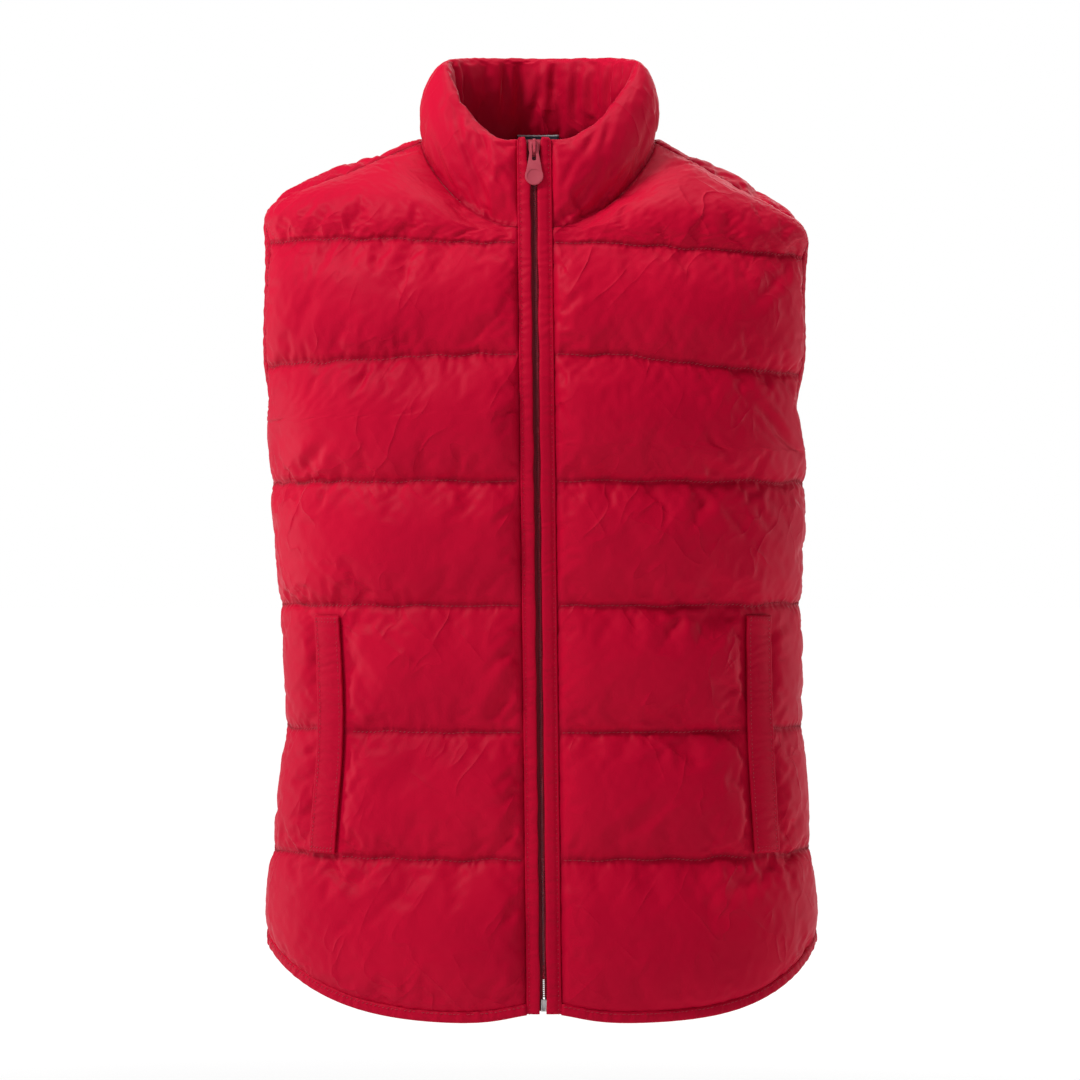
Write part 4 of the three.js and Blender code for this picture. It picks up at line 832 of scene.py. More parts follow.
@functools.lru_cache(maxsize=None)
def settled_panel(panel):
    """The outer face of a panel after its filling has settled: rows, shares, points, normals and puff."""
    sizes = bpy.context.scene.vest_sizes
    rows, shares = panel_rows(panel, sizes.cloth_step), panel_shares(panel, sizes.cloth_step)
    base = np.array([panel_offset(panel, shares, row, 0.0) for row in rows])
    full = np.array([panel_filling(panel, shares, row) for row in rows])
    out = np.array([panel_normal(panel, shares, min(row, LAST_ROW)) for row in rows])
    height = WALL + (full - WALL) * sizes.first_fill
    near_edge = np.minimum(1 - np.abs(shares), 1 if panel == BACK else shares)[None, :]
    inside = smooth(near_edge, 0, 0.06)
    span = shares[None, :] * SHARE_LENGTH
    held = np.zeros(height.shape, bool)
    held[0] = held[-1] = held[:, 0] = held[:, -1] = True
    spare = np.full(height.shape, sizes.spare_cloth)
    spare = spare * (1 + 0.45 * ripple(span + 40 * rows[:, None], 120, 7 + panel))
    grid = base + out * height[..., None]
    for line in range(1, 7):
        j = int(np.argmin(np.abs(rows - line)))
        held[j] = True
        near = 1 - smooth(np.abs(rows - line), 0, 0.16)[:, None]
        up = unit(grid[j + 1] - grid[j - 1])
        wander = sizes.seam_wander * ripple(span[0], 46, 11 * line + panel) * inside[0]
        grid = grid + (near * wander)[..., None] * up
    for on, line, low, high, more in GATHERS:
        if on == panel:
            across = smooth(shares, low - 0.06, low) * (1 - smooth(shares, high, high + 0.06))
            spare = spare + more * across[None, :] * (1 - smooth(np.abs(rows - line), 0.05, 0.4))[:, None]
    if panel != BACK:
        for j, row in enumerate(rows):
            held[j] |= under_welt(panel, shares, row) > 0.6
    draw = np.random.default_rng(31 + panel)
    grid = grid + out * (draw.uniform(-0.25, 0.25, height.shape) * ~held)[..., None]
    grid = settle(grid, held, np.clip(spare, 0.002, 0.08), sizes.air_pressure, panel != LEFT)
    for axis in (0, 1):
        grid, base, out = doubled(grid, axis), doubled(base, axis), unit(doubled(out, axis))
    rows, shares = doubled(rows, 0), doubled(shares, 0)
    deep = np.array([crease_depth(panel, shares, row) for row in rows])
    above = np.sum((grid - base) * out, axis=-1)
    deep = deep * np.clip((above - WALL) / 5, 0, 1)
    grid = grid + out * (np.maximum(above - deep, 1.4) - above)[..., None]
    around = np.gradient(grid, axis=1)
    up = np.gradient(grid, axis=0)
    normals = unit(np.cross(around, up) * (1 if panel == LEFT else -1))
    from_line = np.abs(rows[:, None] - np.clip(np.round(rows), 1, 6)[:, None]) * ROW_LENGTH
    from_line = np.minimum(from_line, (TOP_ROW - rows[:, None]) * ROW_LENGTH)
    from_edge = np.minimum(1 - np.abs(shares), 1 if panel == BACK else shares)[None, :] * SHARE_LENGTH
    # puff runs from 0 in a groove to 1 on a crown, and it also drives the painted shade of the nylon in the
    # grooves.
    puff = smooth(np.minimum(from_line, from_edge), 0, GROOVE_HALF)
    return rows, shares, grid, normals, puff


def padded_wall(name, rows, shares, outer, inner_at, flipped):
    """A closed padded piece: the settled outer face, and a plain inner face under it."""
    few_rows = rows[np.unique(np.linspace(0, len(rows) - 1, 34).astype(int))]
    columns = 21 if len(shares) < 150 else 41
    few_shares = shares[np.unique(np.linspace(0, len(shares) - 1, columns).astype(int))]
    inner = np.array([inner_at(few_shares, row) for row in few_rows])
    start = outer.shape[0] * outer.shape[1]
    faces = grid_quads(*outer.shape[:2])
    faces += [face[::-1] for face in grid_quads(*inner.shape[:2], start)]
    faces += ladder(rim(rows, shares), rim(few_rows, few_shares, start))
    return link_mesh(name, np.concatenate([outer.reshape(-1, 3), inner.reshape(-1, 3)]), faces, flipped)


def sheet_wall(name, outer, inner, flipped):
    """A closed thin sheet between two grids of the same size."""
    rows, columns = outer.shape[:2]
    start = rows * columns
    faces = grid_quads(rows, columns) + [face[::-1] for face in grid_quads(rows, columns, start)]
    even = rim(np.arange(rows), np.arange(columns)), rim(np.arange(rows), np.arange(columns), start)
    faces += ladder(*even)
    return link_mesh(name, np.concatenate([outer.reshape(-1, 3), inner.reshape(-1, 3)]), faces, flipped)


def tube(name, sections, closed=False):
    """A closed body through sections of the same number of points."""
    sections = np.asarray(sections)
    count, corners = sections.shape[:2]
    i = np.arange(count * corners).reshape(count, corners)
    j, k = np.roll(i, -1, axis=0), np.roll(i, -1, axis=1)
    last = count if closed else count - 1
    quads = np.stack([i, k, np.roll(j, -1, axis=1), j], -1)[:last].reshape(-1, 4).tolist()
    if not closed:
        quads += [i[0, ::-1].tolist(), i[-1].tolist()]
    piece = link_mesh(name, sections, quads)
    faces_out(piece)
    return piece


def faces_out(piece):
    """Turns a closed piece's faces outwards."""
    work = bmesh.new()
    work.from_mesh(piece.data)
    bmesh.ops.recalc_face_normals(work, faces=work.faces)
    work.to_mesh(piece.data)
    work.free()


def way_along(points):
    """The length along a line up to each of its points."""
    return np.concatenate([[0], np.cumsum(np.linalg.norm(np.diff(points, axis=0), axis=1))])


def resampled(points, step, *others, closed=False):
    """Points along a line at an even distance, with other values that go with them."""
    if closed:
        points, others = np.concatenate([points, points[:1]]), [np.concatenate([o, o[:1]]) for o in others]
    at = way_along(points)
    even = np.linspace(0, at[-1], max(round(at[-1] / step), 2) + 1)
    even = even[:-1] if closed else even
    made = [np.stack([np.interp(even, at, v[:, k]) for k in range(3)], -1) for v in (points, *others)]
    return made[0] if len(made) == 1 else made


def softened(values, times, closed=False):
    for _ in range(times):
        if closed:
            values = (np.roll(values, 1, axis=0) + 2 * values + np.roll(values, -1, axis=0)) / 4
        else:
            inside = (values[:-2] + 2 * values[1:-1] + values[2:]) / 4
            values = np.concatenate([values[:1], inside, values[-1:]])
    return values


def tangents(points, closed=False):
    if closed:
        return unit(np.roll(points, -1, axis=0) - np.roll(points, 1, axis=0))
    return unit(np.gradient(points, axis=0))


def round_section(low_out, high_out, low_up, high_up, corners=14, power=3.2):
    """A rounded strip's section, as distances out from the edge and up along the normal."""
    turn = np.linspace(0, 2 * math.pi, corners, endpoint=False) + math.pi / corners
    c, s = np.cos(turn), np.sin(turn)
    c, s = np.sign(c) * np.abs(c) ** (2 / power), np.sign(s) * np.abs(s) ** (2 / power)
    return np.stack([mix(low_out, high_out, (c + 1) / 2), mix(low_up, high_up, (s + 1) / 2)], -1)


def sweep(points, normals, outs, section):
    """Sections of a strip along a line. A section is one table, or one for each point."""
    section = np.broadcast_to(section, (len(points), *np.shape(section)[-2:]))
    return points[:, None] + outs[:, None] * section[..., :1] + normals[:, None] * section[..., 1:]


@functools.lru_cache(maxsize=None)
def armhole_edge(side):
    """Points, normals and directions into the hole, round the armhole."""
    start = armhole_start(side)[0]
    rows = [start, *np.linspace(start, TOP_ROW, 90)[1:]]
    edges = [(side, 1.0, row) for row in rows] + [(BACK, float(side), row) for row in rows[::-1]]
    points = np.array([panel_offset(panel, np.array([share]), row, 0.0)[0] for panel, share, row in edges])
    tips = np.array([panel_offset(panel, np.array([share]), row, 1.0)[0] for panel, share, row in edges])
    points, normals = resampled(points, 3.0, tips - points, closed=True)
    points, normals = softened(points, 6, True), unit(softened(normals, 10, True))
    outs = unit(np.cross(tangents(points, True), normals))
    centre = points.mean(axis=0)
    outs = outs * np.sign(np.sum(outs * (centre - points), axis=-1, keepdims=True))
    return points, normals, unit(softened(outs, 3, True))


@functools.lru_cache(maxsize=None)
def hem_edge(panel):
    """Points, normals and directions down, along a panel's hem."""
    shares = panel_shares(panel, 3.0)
    points = panel_offset(panel, shares, 0.0, 0.0)
    normals = unit(panel_offset(panel, shares, 0.0, 1.0) - points)
    outs = unit(np.cross(tangents(points), normals))
    outs = outs * -np.sign(outs[:, 2:])
    near_zip = 0 if panel == BACK else 1 - smooth(shares, 0, 0.2)
    straight = np.maximum(near_zip, smooth(np.abs(shares), 0.82, 1))[:, None]
    down = np.array([0, 0, -1.0])
    down = unit(down - normals * np.sum(normals * down, axis=-1, keepdims=True))
    return points, normals, unit(mix(outs, down, straight))


def beside_zip(side, heights, section):
    """Sections of a strip beside the zip: distances from its line and depths in front of the form."""
    middle = zip_point(heights)
    section = np.broadcast_to(section, (len(heights), *np.shape(section)[-2:]))
    sections = np.repeat(middle[:, None], section.shape[1], axis=1)
    sections[..., 0] += side * section[..., 0]
    sections[..., 1] -= section[..., 1]
    return sections


def near_top(z):
    return smooth(z, ZIP_TOP - 34, ZIP_TOP - 12)


def crease_depth(panel, share, row):
    """How deep the main creases are at a place of a panel."""
    depth = 0.0 * share
    for on, *crease in CREASES:
        if on == panel:
            depth = depth + trough(share, row, crease, SHARE_LENGTH, ROW_LENGTH, CREASE_RIDGE)
    return depth


# The collar, from the zip on the wearer's right at -1, round the back at 0, to the zip on the left at 1
def neck_point(share):
    side, out = (RIGHT if share < 0 else LEFT), abs(share)
    if out <= 0.5:
        across = np.array([side * NECK_SHARE * min(out / 0.5, 0.999)])
        return back_neckline(side, out / 0.5), panel_normal(BACK, across, TOP_ROW)[0]
    row = mix(TOP_ROW, YOKE_ROW, (out - 0.5) / 0.5)
    return front_point(side, np.array([0.0]), row)[0], panel_normal(side, np.array([0.006]), row)[0]


def round_collar(share, back, side, front):
    out = np.abs(share) * 2
    return np.where(out < 1, mix(back, side, smooth(out, 0, 1)), mix(side, front, smooth(out, 1, 2)))


def collar_loft(shares, ups):
    """The collar's outer face from its foot up, and its inner face from the top down."""
    feet = [neck_point(share) for share in shares]
    foot = np.array([point for point, _ in feet])
    normal = unit(softened(np.array([facing for _, facing in feet]), 8))
    at_zip = smooth(np.abs(shares), 0.86, 0.99)[:, None]
    forwards = np.array([-1.0, 0, 0])
    onward_round = unit(mix(unit(np.gradient(foot, axis=0)), forwards, at_zip))
    away = unit(np.stack([-onward_round[:, 1], onward_round[:, 0], 0 * shares], -1))
    flat = unit(normal - onward_round * np.sum(normal * onward_round, axis=-1, keepdims=True))
    onwards = unit(np.cross(flat, onward_round))
    onwards = onwards * np.where(onwards[:, 2:] < 0, -1, 1)
    side_lean = np.where(shares < 0, COLLAR_LEANS[RIGHT], COLLAR_LEANS[LEFT])
    lean = round_collar(shares, COLLAR_LEANS[BACK], side_lean, COLLAR_LEAN)[:, None]
    height = round_collar(shares, *COLLAR_HEIGHT)[:, None]
    straight_up = np.array([0, 0, 1.0])
    upwards, level = unit(straight_up - away * lean), unit(away + straight_up * lean)
    full = mix(0.06, 1, quarter_round((1 - np.abs(shares)) * 240, 22))[:, None]
    fold = sum(deep * np.exp(-(((shares - at) / half) ** 2)) for at, half, deep in COLLAR_FOLDS)[:, None]
    fill_out, fill_in = (through(COLLAR_SECTION[:, 0], COLLAR_SECTION[:, k], ups) for k in (1, 2))
    middle, before, outer, inner = foot + onwards * 2 * SEAM_GAP, 0 * height, [], []
    for up, out, inside in zip(ups, fill_out, fill_in):
        risen = up * height
        turned = smooth((before + risen) / 2, 0, COLLAR_BEND)
        middle = middle + unit(mix(onwards, upwards, turned)) * (risen - before)
        facing = unit(mix(flat, level, smooth(risen, 0, COLLAR_BEND)))
        shift = at_zip[:, 0] * (zip_x(middle[:, 2]) - zip_x(foot[:, 2]))
        place = middle + np.stack([shift, 0 * shift, 0 * shift], -1)
        outer.append(place + facing * (COLLAR_FOOT[0] + COLLAR_OUT * out * full))
        inward = COLLAR_FOOT[1] + (COLLAR_IN * inside - fold * min(max(inside, 0), 1)) * full
        inner.append(place - facing * inward)
        before = risen
    return np.array(outer + inner[::-1])


@functools.lru_cache(maxsize=None)
def settled_collar():
    """The collar's whole face after its filling has settled, from the outer foot over to the inner foot."""
    sizes = bpy.context.scene.vest_sizes
    shares = np.linspace(-1, 1, round(2 * COLLAR_HALF_ROUND / sizes.cloth_step) + 1)
    ups = np.concatenate([np.linspace(0, 0.9, 15)[:-1], np.linspace(0.9, 1, 5)])
    grid = collar_loft(shares, ups)
    held = np.zeros(grid.shape[:2], bool)
    held[0] = held[-1] = held[:, 0] = held[:, -1] = True
    across = shares * COLLAR_HALF_ROUND
    up = np.concatenate([ups, ups[::-1]])
    spare = sizes.spare_cloth * (1.6 + 0.8 * ripple(across, 70, 5))[None, :]
    spare = spare + 0.035 * (1 - smooth(up, 0.05, 0.4))[:, None]
    spare = spare + np.where(np.arange(len(up)) >= len(ups), 0.015, 0)[:, None]
    draw = np.random.default_rng(77)
    grid = grid + draw.uniform(-0.2, 0.2, grid.shape) * ~held[..., None]
    grid = settle(grid, held, np.clip(spare, 0.002, 0.09), sizes.air_pressure, True, COLLAR_SWELL)
    for axis in (0, 1):
        grid = doubled(grid, axis)
    shares, up = doubled(shares, 0), doubled(up, 0)
    outer = np.arange(len(up)) < len(up) / 2
    normals = unit(np.cross(np.gradient(grid, axis=1), np.gradient(grid, axis=0)) * -1)
    deep = np.zeros(grid.shape[:2])
    for on_outer, *crease in COLLAR_CREASES:
        deep = deep + (outer == on_outer)[:, None] * trough(
            shares[None, :], up[:, None], crease, COLLAR_HALF_ROUND, COLLAR_HEIGHT[0], COLLAR_RIDGE)
    deep = deep * (smooth(up, 0, 0.12) * (1 - 0.6 * smooth(up, 0.92, 1)))[:, None]
    deep = deep * smooth(1 - np.abs(shares), 0, 0.05)[None, :]
    return shares, up, grid - normals * deep[..., None], normals


def closed_collar(name):
    shares, up, grid, _ = settled_collar()
    rows, columns = grid.shape[:2]
    i = np.arange(rows * columns).reshape(rows, columns)
    half = rows // 2
    quads = grid_quads(rows, columns)
    for column, turn in ((0, 1), (columns - 1, -1)):
        for k in range(half):
            face = [i[k, column], i[k + 1, column], i[rows - 2 - k, column], i[rows - 1 - k, column]]
            face = list(dict.fromkeys(face))
            if len(face) > 2:
                quads.append(face[::turn])
    quads += [[a, b, c, d] for a, b, c, d in zip(i[0, 1:], i[0, :-1], i[-1, :-1], i[-1, 1:])]
    piece = link_mesh(name, grid, quads)
    faces_out(piece)
    # Low puff at the collar's two feet darkens the nylon there: painted shade along the neckline seam and
    # inside the collar's foot.
    puff = smooth(up, 0, 0.22)[:, None] * np.ones(columns)
    mark_cloth(piece, shares[None] * COLLAR_HALF_ROUND, up[:, None] * COLLAR_HEIGHT[0], puff)
    dress(piece, "nylon")
    return piece


class Socket:
    """One output of a material's nodes; sums and products of it add Math nodes."""

    def __init__(self, look, output):
        self.look, self.output = look, output

    def math(self, operation, *others):
        return self.look.node("ShaderNodeMath", {"operation": operation}, dict(enumerate([self, *others])))

    def __add__(self, other):
        return self.math("ADD", other)

    __radd__ = __add__

    def __sub__(self, other):
        return self.math("SUBTRACT", other)

    def __rsub__(self, other):
        return self.look.node("ShaderNodeMath", {"operation": "SUBTRACT"}, {0: other, 1: self})

    def __mul__(self, other):
        return self.math("MULTIPLY", other)

    __rmul__ = __mul__

    def __pow__(self, other):
        return self.math("POWER", other)

    def sine(self):
        return self.math("SINE")

    def kept(self):
        """Held between 0 and 1."""
        return self.look.node("ShaderNodeClamp", {}, {0: self})


class Look:
    """A new material, its shader and the nodes that feed it."""

    def __init__(self, name, **constants):
        self.material = bpy.data.materials.new(name)
        self.material.use_nodes = True
        self.tree = self.material.node_tree
        self.shader = self.tree.nodes["Principled BSDF"]
        for key, value in constants.items():
            self.shader.inputs[key.replace("_", " ")].default_value = value
        self.place = self.node("ShaderNodeTexCoord", {}, {}, "Object")
        self.cloth = self.node("ShaderNodeAttribute", {"attribute_name": "cloth"}, {}, "Vector")

    def node(self, kind, settings, inputs, output=0):
        node = self.tree.nodes.new(kind)
        for key, value in settings.items():
            setattr(node, key, value)
        for key, value in inputs.items():
            if isinstance(value, Socket):
                self.tree.links.new(value.output, node.inputs[key])
            else:
                node.inputs[key].default_value = value
        return Socket(self, node.outputs[output])

    def feed(self, **links):
        for key, value in links.items():
            self.tree.links.new(value.output, self.shader.inputs[key.replace("_", " ")])

    def scaled(self, vector, x, y, z):
        return self.node("ShaderNodeVectorMath", {"operation": "MULTIPLY"}, {0: vector, 1: (x, y, z)})

    def noise(self, vector, scale, detail=2.0, rough=0.5):
        inputs = {"Vector": vector, "Scale": scale, "Detail": detail, "Roughness": rough}
        return self.node("ShaderNodeTexNoise", {}, inputs, "Fac")

    def part(self, vector, axis):
        return self.node("ShaderNodeSeparateXYZ", {}, {0: vector}, axis)

    def between(self, value, low, high):
        """From 0 at low to 1 at high."""
        return self.node(
            "ShaderNodeMapRange", {"interpolation_type": "SMOOTHSTEP"},
            {"Value": value, "From Min": low, "From Max": high})

    def ridge(self, value):
        """Thin lines where a noise crosses its middle."""
        return (1 - (value - 0.5).math("ABSOLUTE") * 2).kept() ** 14

    def blend(self, share, first, second):
        return self.node(
            "ShaderNodeMix", {"data_type": "RGBA"}, {0: share, 6: first, 7: second}, 2)

    def bump(self, height, distance, strength, under=None):
        inputs = {"Height": height, "Distance": distance * MM, "Strength": strength}
        if under is not None:
            inputs["Normal"] = under
        return self.node("ShaderNodeBump", {}, inputs)


def rgb(colour, lighter=1.0):
    return tuple(min(c * lighter, 1) for c in colour) + (1,)


def nylon(name, colours, rough, weave, pucker, crease):
    """Woven nylon: painted shade darkening the grooves, cloudy dye, fine weave, puckers beside the seams and
    thin creases.
    """
    look = Look(name, Specular_IOR_Level=0.05, Sheen_Weight=0.3, Sheen_Roughness=0.22,
                Sheen_Tint=(*colours.sheen, 1))
    puff = look.part(look.cloth, 2)
    cloud = look.noise(look.place, 7, 3, 0.55)
    small = look.noise(look.place, 90, 4, 0.6)
    fade = look.between(cloud, 0.35, 0.7)
    colour = look.blend(fade * 0.55, rgb(colours.nylon), rgb(colours.nylon_deep_dye_and_groove_shade))
    # Painted shade: the colour darkens towards the quilting grooves and seams, where the puff is low.
    colour = look.blend((1 - look.between(puff, 0.0, 0.45)) * 0.45, colour, rgb(colours.nylon_deep_dye_and_groove_shade, 0.6))
    worn = look.between(look.noise(look.place, 260, 5, 0.65), 0.6, 0.85)
    colour = look.blend(worn * 0.14 * puff, colour, rgb(colours.nylon_faded))
    threads = look.noise(look.scaled(look.place, 1, 1, 0.06), 2600, 1)
    threads = threads + look.noise(look.scaled(look.place, 0.06, 0.06, 1), 2600, 1)
    wrinkle = look.noise(look.scaled(look.place, 1, 1, 0.7), 150, 3, 0.5)
    across = look.part(look.cloth, 0)
    gather = (across * 800 + look.noise(look.place, 40, 2) * 16).sine() * (1 - puff) ** 1.5
    normal = look.bump(threads, 0.06, weave)
    normal = look.bump(wrinkle, 0.5, 0.35, normal)
    normal = look.bump(gather * look.noise(look.place, 45, 2), 1.0, pucker, normal)
    for turn, scale in ((0.75, 26), (-0.6, 33)):
        tilted = look.node("ShaderNodeMapping", {}, {"Vector": look.place, "Rotation": (0.2, turn, 0.0)})
        line = look.ridge(look.noise(look.scaled(tilted, 1, 1, 0.28), scale, 2, 0.4))
        where = look.between(look.noise(look.place, 14 + scale / 9, 1), 0.44, 0.66)
        normal = look.bump(line * where, 1.1, crease, normal)
    look.feed(Base_Color=colour, Normal=normal, Roughness=rough + 0.14 * small + 0.06 * fade - 0.08)
    return look.material


def thread(name, colour, light):
    look = Look(name, Specular_IOR_Level=0.3, Sheen_Weight=0.2)
    ply = look.part(look.place, 0) * 5200 + look.part(look.place, 2) * 4200
    twist = ply.sine() * 0.5 + 0.5
    fleck = look.noise(look.place, 700, 3)
    look.feed(
        Base_Color=look.blend(twist * 0.5 + fleck * 0.5, rgb(colour), rgb(light)),
        Roughness=0.5 + 0.25 * fleck, Normal=look.bump(twist, 0.08, 0.6))
    return look.material


def lining_cloth(colours):
    look = Look("lining", Specular_IOR_Level=0.3, Sheen_Weight=0.25, Sheen_Roughness=0.4)
    cloud, fine = look.noise(look.place, 12, 3), look.noise(look.place, 900, 2)
    threads = look.noise(look.scaled(look.place, 1, 1, 0.07), 2200, 1)
    wrinkle = look.noise(look.scaled(look.place, 1, 1, 0.5), 70, 3)
    colour = look.blend(look.between(cloud, 0.3, 0.7), rgb(colours.lining), rgb(colours.lining, 1.8))
    colour = look.blend(fine * 0.3, colour, rgb(colours.lining, 2.6))
    normal = look.bump(wrinkle, 1.0, 0.5, look.bump(threads, 0.06, 0.3))
    look.feed(Base_Color=colour, Roughness=0.38 + 0.2 * cloud, Normal=normal)
    return look.material


def tape_cloth(colours):
    look = Look("tape", Specular_IOR_Level=0.25, Sheen_Weight=0.3)
    x, z = look.part(look.place, 0), look.part(look.place, 2)
    twill = (x * 5200 + z * 5200).sine() * 0.5 + 0.5
    rib = (z * 7000).sine() * 0.5 + 0.5
    cloud = look.noise(look.place, 160, 3)
    colour = look.blend(twill * 0.4 + cloud * 0.4, rgb(colours.tape, 0.6), rgb(colours.tape))
    look.feed(Base_Color=colour, Roughness=0.7 + 0.15 * cloud, Normal=look.bump(twill + rib * 0.5, 0.12, 0.7))
    return look.material


def coil_nylon(colours):
    look = Look("coil", Specular_IOR_Level=0.45)
    cloud = look.noise(look.place, 300, 3)
    band = look.noise(look.place, 60, 2)
    colour = look.blend(cloud, rgb(colours.tape, 0.75), rgb(colours.tape, 1.5))
    look.feed(Base_Color=colour, Roughness=0.32 + 0.2 * band, Normal=look.bump(cloud, 0.05, 0.4))
    return look.material


def lacquered_metal(colours):
    """Matt lacquer over cast metal, thinner on raised edges."""
    look = Look("lacquer", Specular_IOR_Level=0.4, Coat_Roughness=0.4)
    cloud, fine = look.noise(look.place, 120, 4), look.noise(look.place, 1500, 3)
    ridge = look.node("ShaderNodeNewGeometry", {}, {}, "Pointiness")
    edge = look.between(ridge, 0.52, 0.6) * look.between(fine, 0.35, 0.6)
    colour = look.blend(cloud * 0.5, rgb(colours.pull), rgb(colours.pull, 0.8))
    colour = look.blend(edge * 0.5, colour, rgb(colours.nylon_faded))
    look.feed(Base_Color=colour, Roughness=0.46 + 0.18 * cloud - 0.12 * edge,
              Normal=look.bump(fine + cloud, 0.04, 0.5))
    return look.material


def bare_metal(colours):
    look = Look("metal", Metallic=1.0)
    scratch = look.noise(look.scaled(look.place, 1, 1, 0.08), 1600, 3)
    cloud = look.noise(look.place, 220, 3)
    ridge = look.between(look.node("ShaderNodeNewGeometry", {}, {}, "Pointiness"), 0.5, 0.6)
    colour = look.blend(cloud * 0.6 + ridge * 0.4, rgb(colours.metal, 0.7), rgb(colours.metal, 1.3))
    look.feed(Base_Color=colour, Roughness=0.3 + 0.2 * scratch, Normal=look.bump(scratch, 0.03, 0.5))
    return look.material


def floor_paint():
    look = Look("floor", Specular_IOR_Level=0.05, Emission_Strength=1.0)
    cloud = look.noise(look.place, 1.5, 3)
    distance = look.node("ShaderNodeVectorMath", {"operation": "LENGTH"}, {0: look.place}, "Value")
    far = look.between(distance, 1.3, 2.4)
    pale = look.blend(cloud, (0.84, 0.84, 0.84, 1), (0.88, 0.88, 0.88, 1))
    look.feed(Base_Color=look.blend(far, pale, (0.1, 0.1, 0.1, 1)), Roughness=0.8 + 0.1 * cloud,
              Emission_Color=look.blend(far, (0, 0, 0, 1), (1, 1, 1, 1)))
    return look.material


LOOKS = {
    "nylon": lambda c: nylon("nylon", c, rough=0.5, weave=0.25, pucker=0.5, crease=0.7),
    "nylon_trim": lambda c: nylon("nylon_trim", c, rough=0.52, weave=0.3, pucker=0.5, crease=0.0),
    "thread": lambda c: thread("thread", c.thread, tuple(min(1, x * 1.5 + 0.01) for x in c.thread)),
    "grey_thread": lambda c: thread("grey_thread", (0.25, 0.25, 0.27), (0.5, 0.5, 0.52)),
    "lining": lining_cloth,
    "tape": tape_cloth,
    "coil": coil_nylon,
    "lacquer": lacquered_metal,
    "metal": bare_metal,
    "floor": lambda c: floor_paint(),
}


@functools.lru_cache(maxsize=None)
def finish(name):
    return LOOKS[name](bpy.context.scene.vest_colours)


def dress(piece, name):
    piece.data.materials.clear()
    piece.data.materials.append(finish(name))


def declare(piece, body, slot, *nodes):
    """Attaches a piece to the body it rides on and hides the nodes that it stands for. The slot is not used.
    """
    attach(piece, body)
    if nodes:
        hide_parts(*nodes)


def mark_cloth(piece, across, up, puff):
    """Stores each point's place on the cloth in metres, and how filled it is there."""
    values = np.stack(np.broadcast_arrays(across * MM, up * MM, puff), -1).astype(np.float32)
    full = np.zeros((len(piece.data.vertices), 3), np.float32)
    full[: values.size // 3] = values.reshape(-1, 3)
    mark = piece.data.attributes.new("cloth", "FLOAT_VECTOR", "POINT")
    mark.data.foreach_set("vector", full.ravel())


def fresh_start():
    """Leaves nothing selected, so that an operator acts on the new piece alone."""
    bpy.ops.object.select_all(action="DESELECT")


def choose(piece, wanted, kind="VERT"):
    """In edit mode, selects the vertices or faces whose place, or normal for faces, passes a test."""
    bpy.ops.mesh.select_mode(type=kind)
    bpy.ops.mesh.select_all(action="DESELECT")
    work = bmesh.from_edit_mesh(piece.data)
    for item in work.verts if kind == "VERT" else work.faces:
        item.select_set(bool(wanted(item.co if kind == "VERT" else item)))
    work.select_flush_mode()
    bmesh.update_edit_mesh(piece.data)


def act_on(piece):
    """Selects one piece alone and makes it the active one."""
    fresh_start()
    piece.select_set(True)
    bpy.context.view_layer.objects.active = piece


def settle_place(piece):
    """Applies a piece's place, turn and size to its mesh."""
    act_on(piece)
    bpy.ops.object.transform_apply(location=True, rotation=True, scale=True)


def apply_modifier(piece, kind, **settings):
    modifier = piece.modifiers.new(kind.title(), kind)
    for key, value in settings.items():
        setattr(modifier, key, value)
    bpy.context.view_layer.objects.active = piece
    bpy.ops.object.modifier_apply(modifier=modifier.name)


def cut_out(piece, cutter):
    apply_modifier(piece, "BOOLEAN", operation="DIFFERENCE", object=cutter, solver="EXACT")
    bpy.data.objects.remove(cutter)


def take_shape(piece):
    """A template's points and faces; the template itself goes."""
    points = np.array([vertex.co[:] for vertex in piece.data.vertices])
    faces = [list(face.vertices) for face in piece.data.polygons]
    bpy.data.objects.remove(piece)
    return points, faces


@functools.lru_cache(maxsize=None)
def stitch_shape():
    """One stitch, 1 long along x: a round thread whose ends dip into the cloth."""
    fresh_start()
    bpy.ops.mesh.primitive_uv_sphere_add(segments=6, ring_count=5, radius=0.5, rotation=(0, math.pi / 2, 0))
    stitch = bpy.context.active_object
    settle_place(stitch)
    bpy.ops.object.mode_set(mode="EDIT")
    choose(stitch, lambda co: abs(co.x) > 0.38)
    bpy.ops.transform.translate(value=(0, 0, -0.45))
    bpy.ops.object.mode_set(mode="OBJECT")
    return take_shape(stitch)


@functools.lru_cache(maxsize=None)
def coil_shape():
    """One turn of the zip's coil seen from the front, in millimetres: a rounded bar with a wider head."""
    fresh_start()
    bpy.ops.mesh.primitive_cylinder_add(vertices=8, radius=0.4, depth=0.9, rotation=(0, math.pi / 2, 0))
    turn = bpy.context.active_object
    settle_place(turn)
    bpy.ops.object.mode_set(mode="EDIT")
    for side in (-1, 1):
        choose(turn, lambda face: face.normal.x * side > 0.9, "FACE")
        bpy.ops.mesh.extrude_region_move(TRANSFORM_OT_translate={"value": (side * 0.3, 0, 0)})
        scale = 1.25 if side < 0 else 0.9
        bpy.ops.transform.resize(value=(1, scale, scale), center_override=(side * 0.75, 0, 0))
        bpy.ops.mesh.extrude_region_move(TRANSFORM_OT_translate={"value": (side * 0.25, 0, 0)})
        bpy.ops.transform.resize(value=(1, 0.5, 0.5), center_override=(side * 1.0, 0, 0))
    bpy.ops.object.mode_set(mode="OBJECT")
    return take_shape(turn)


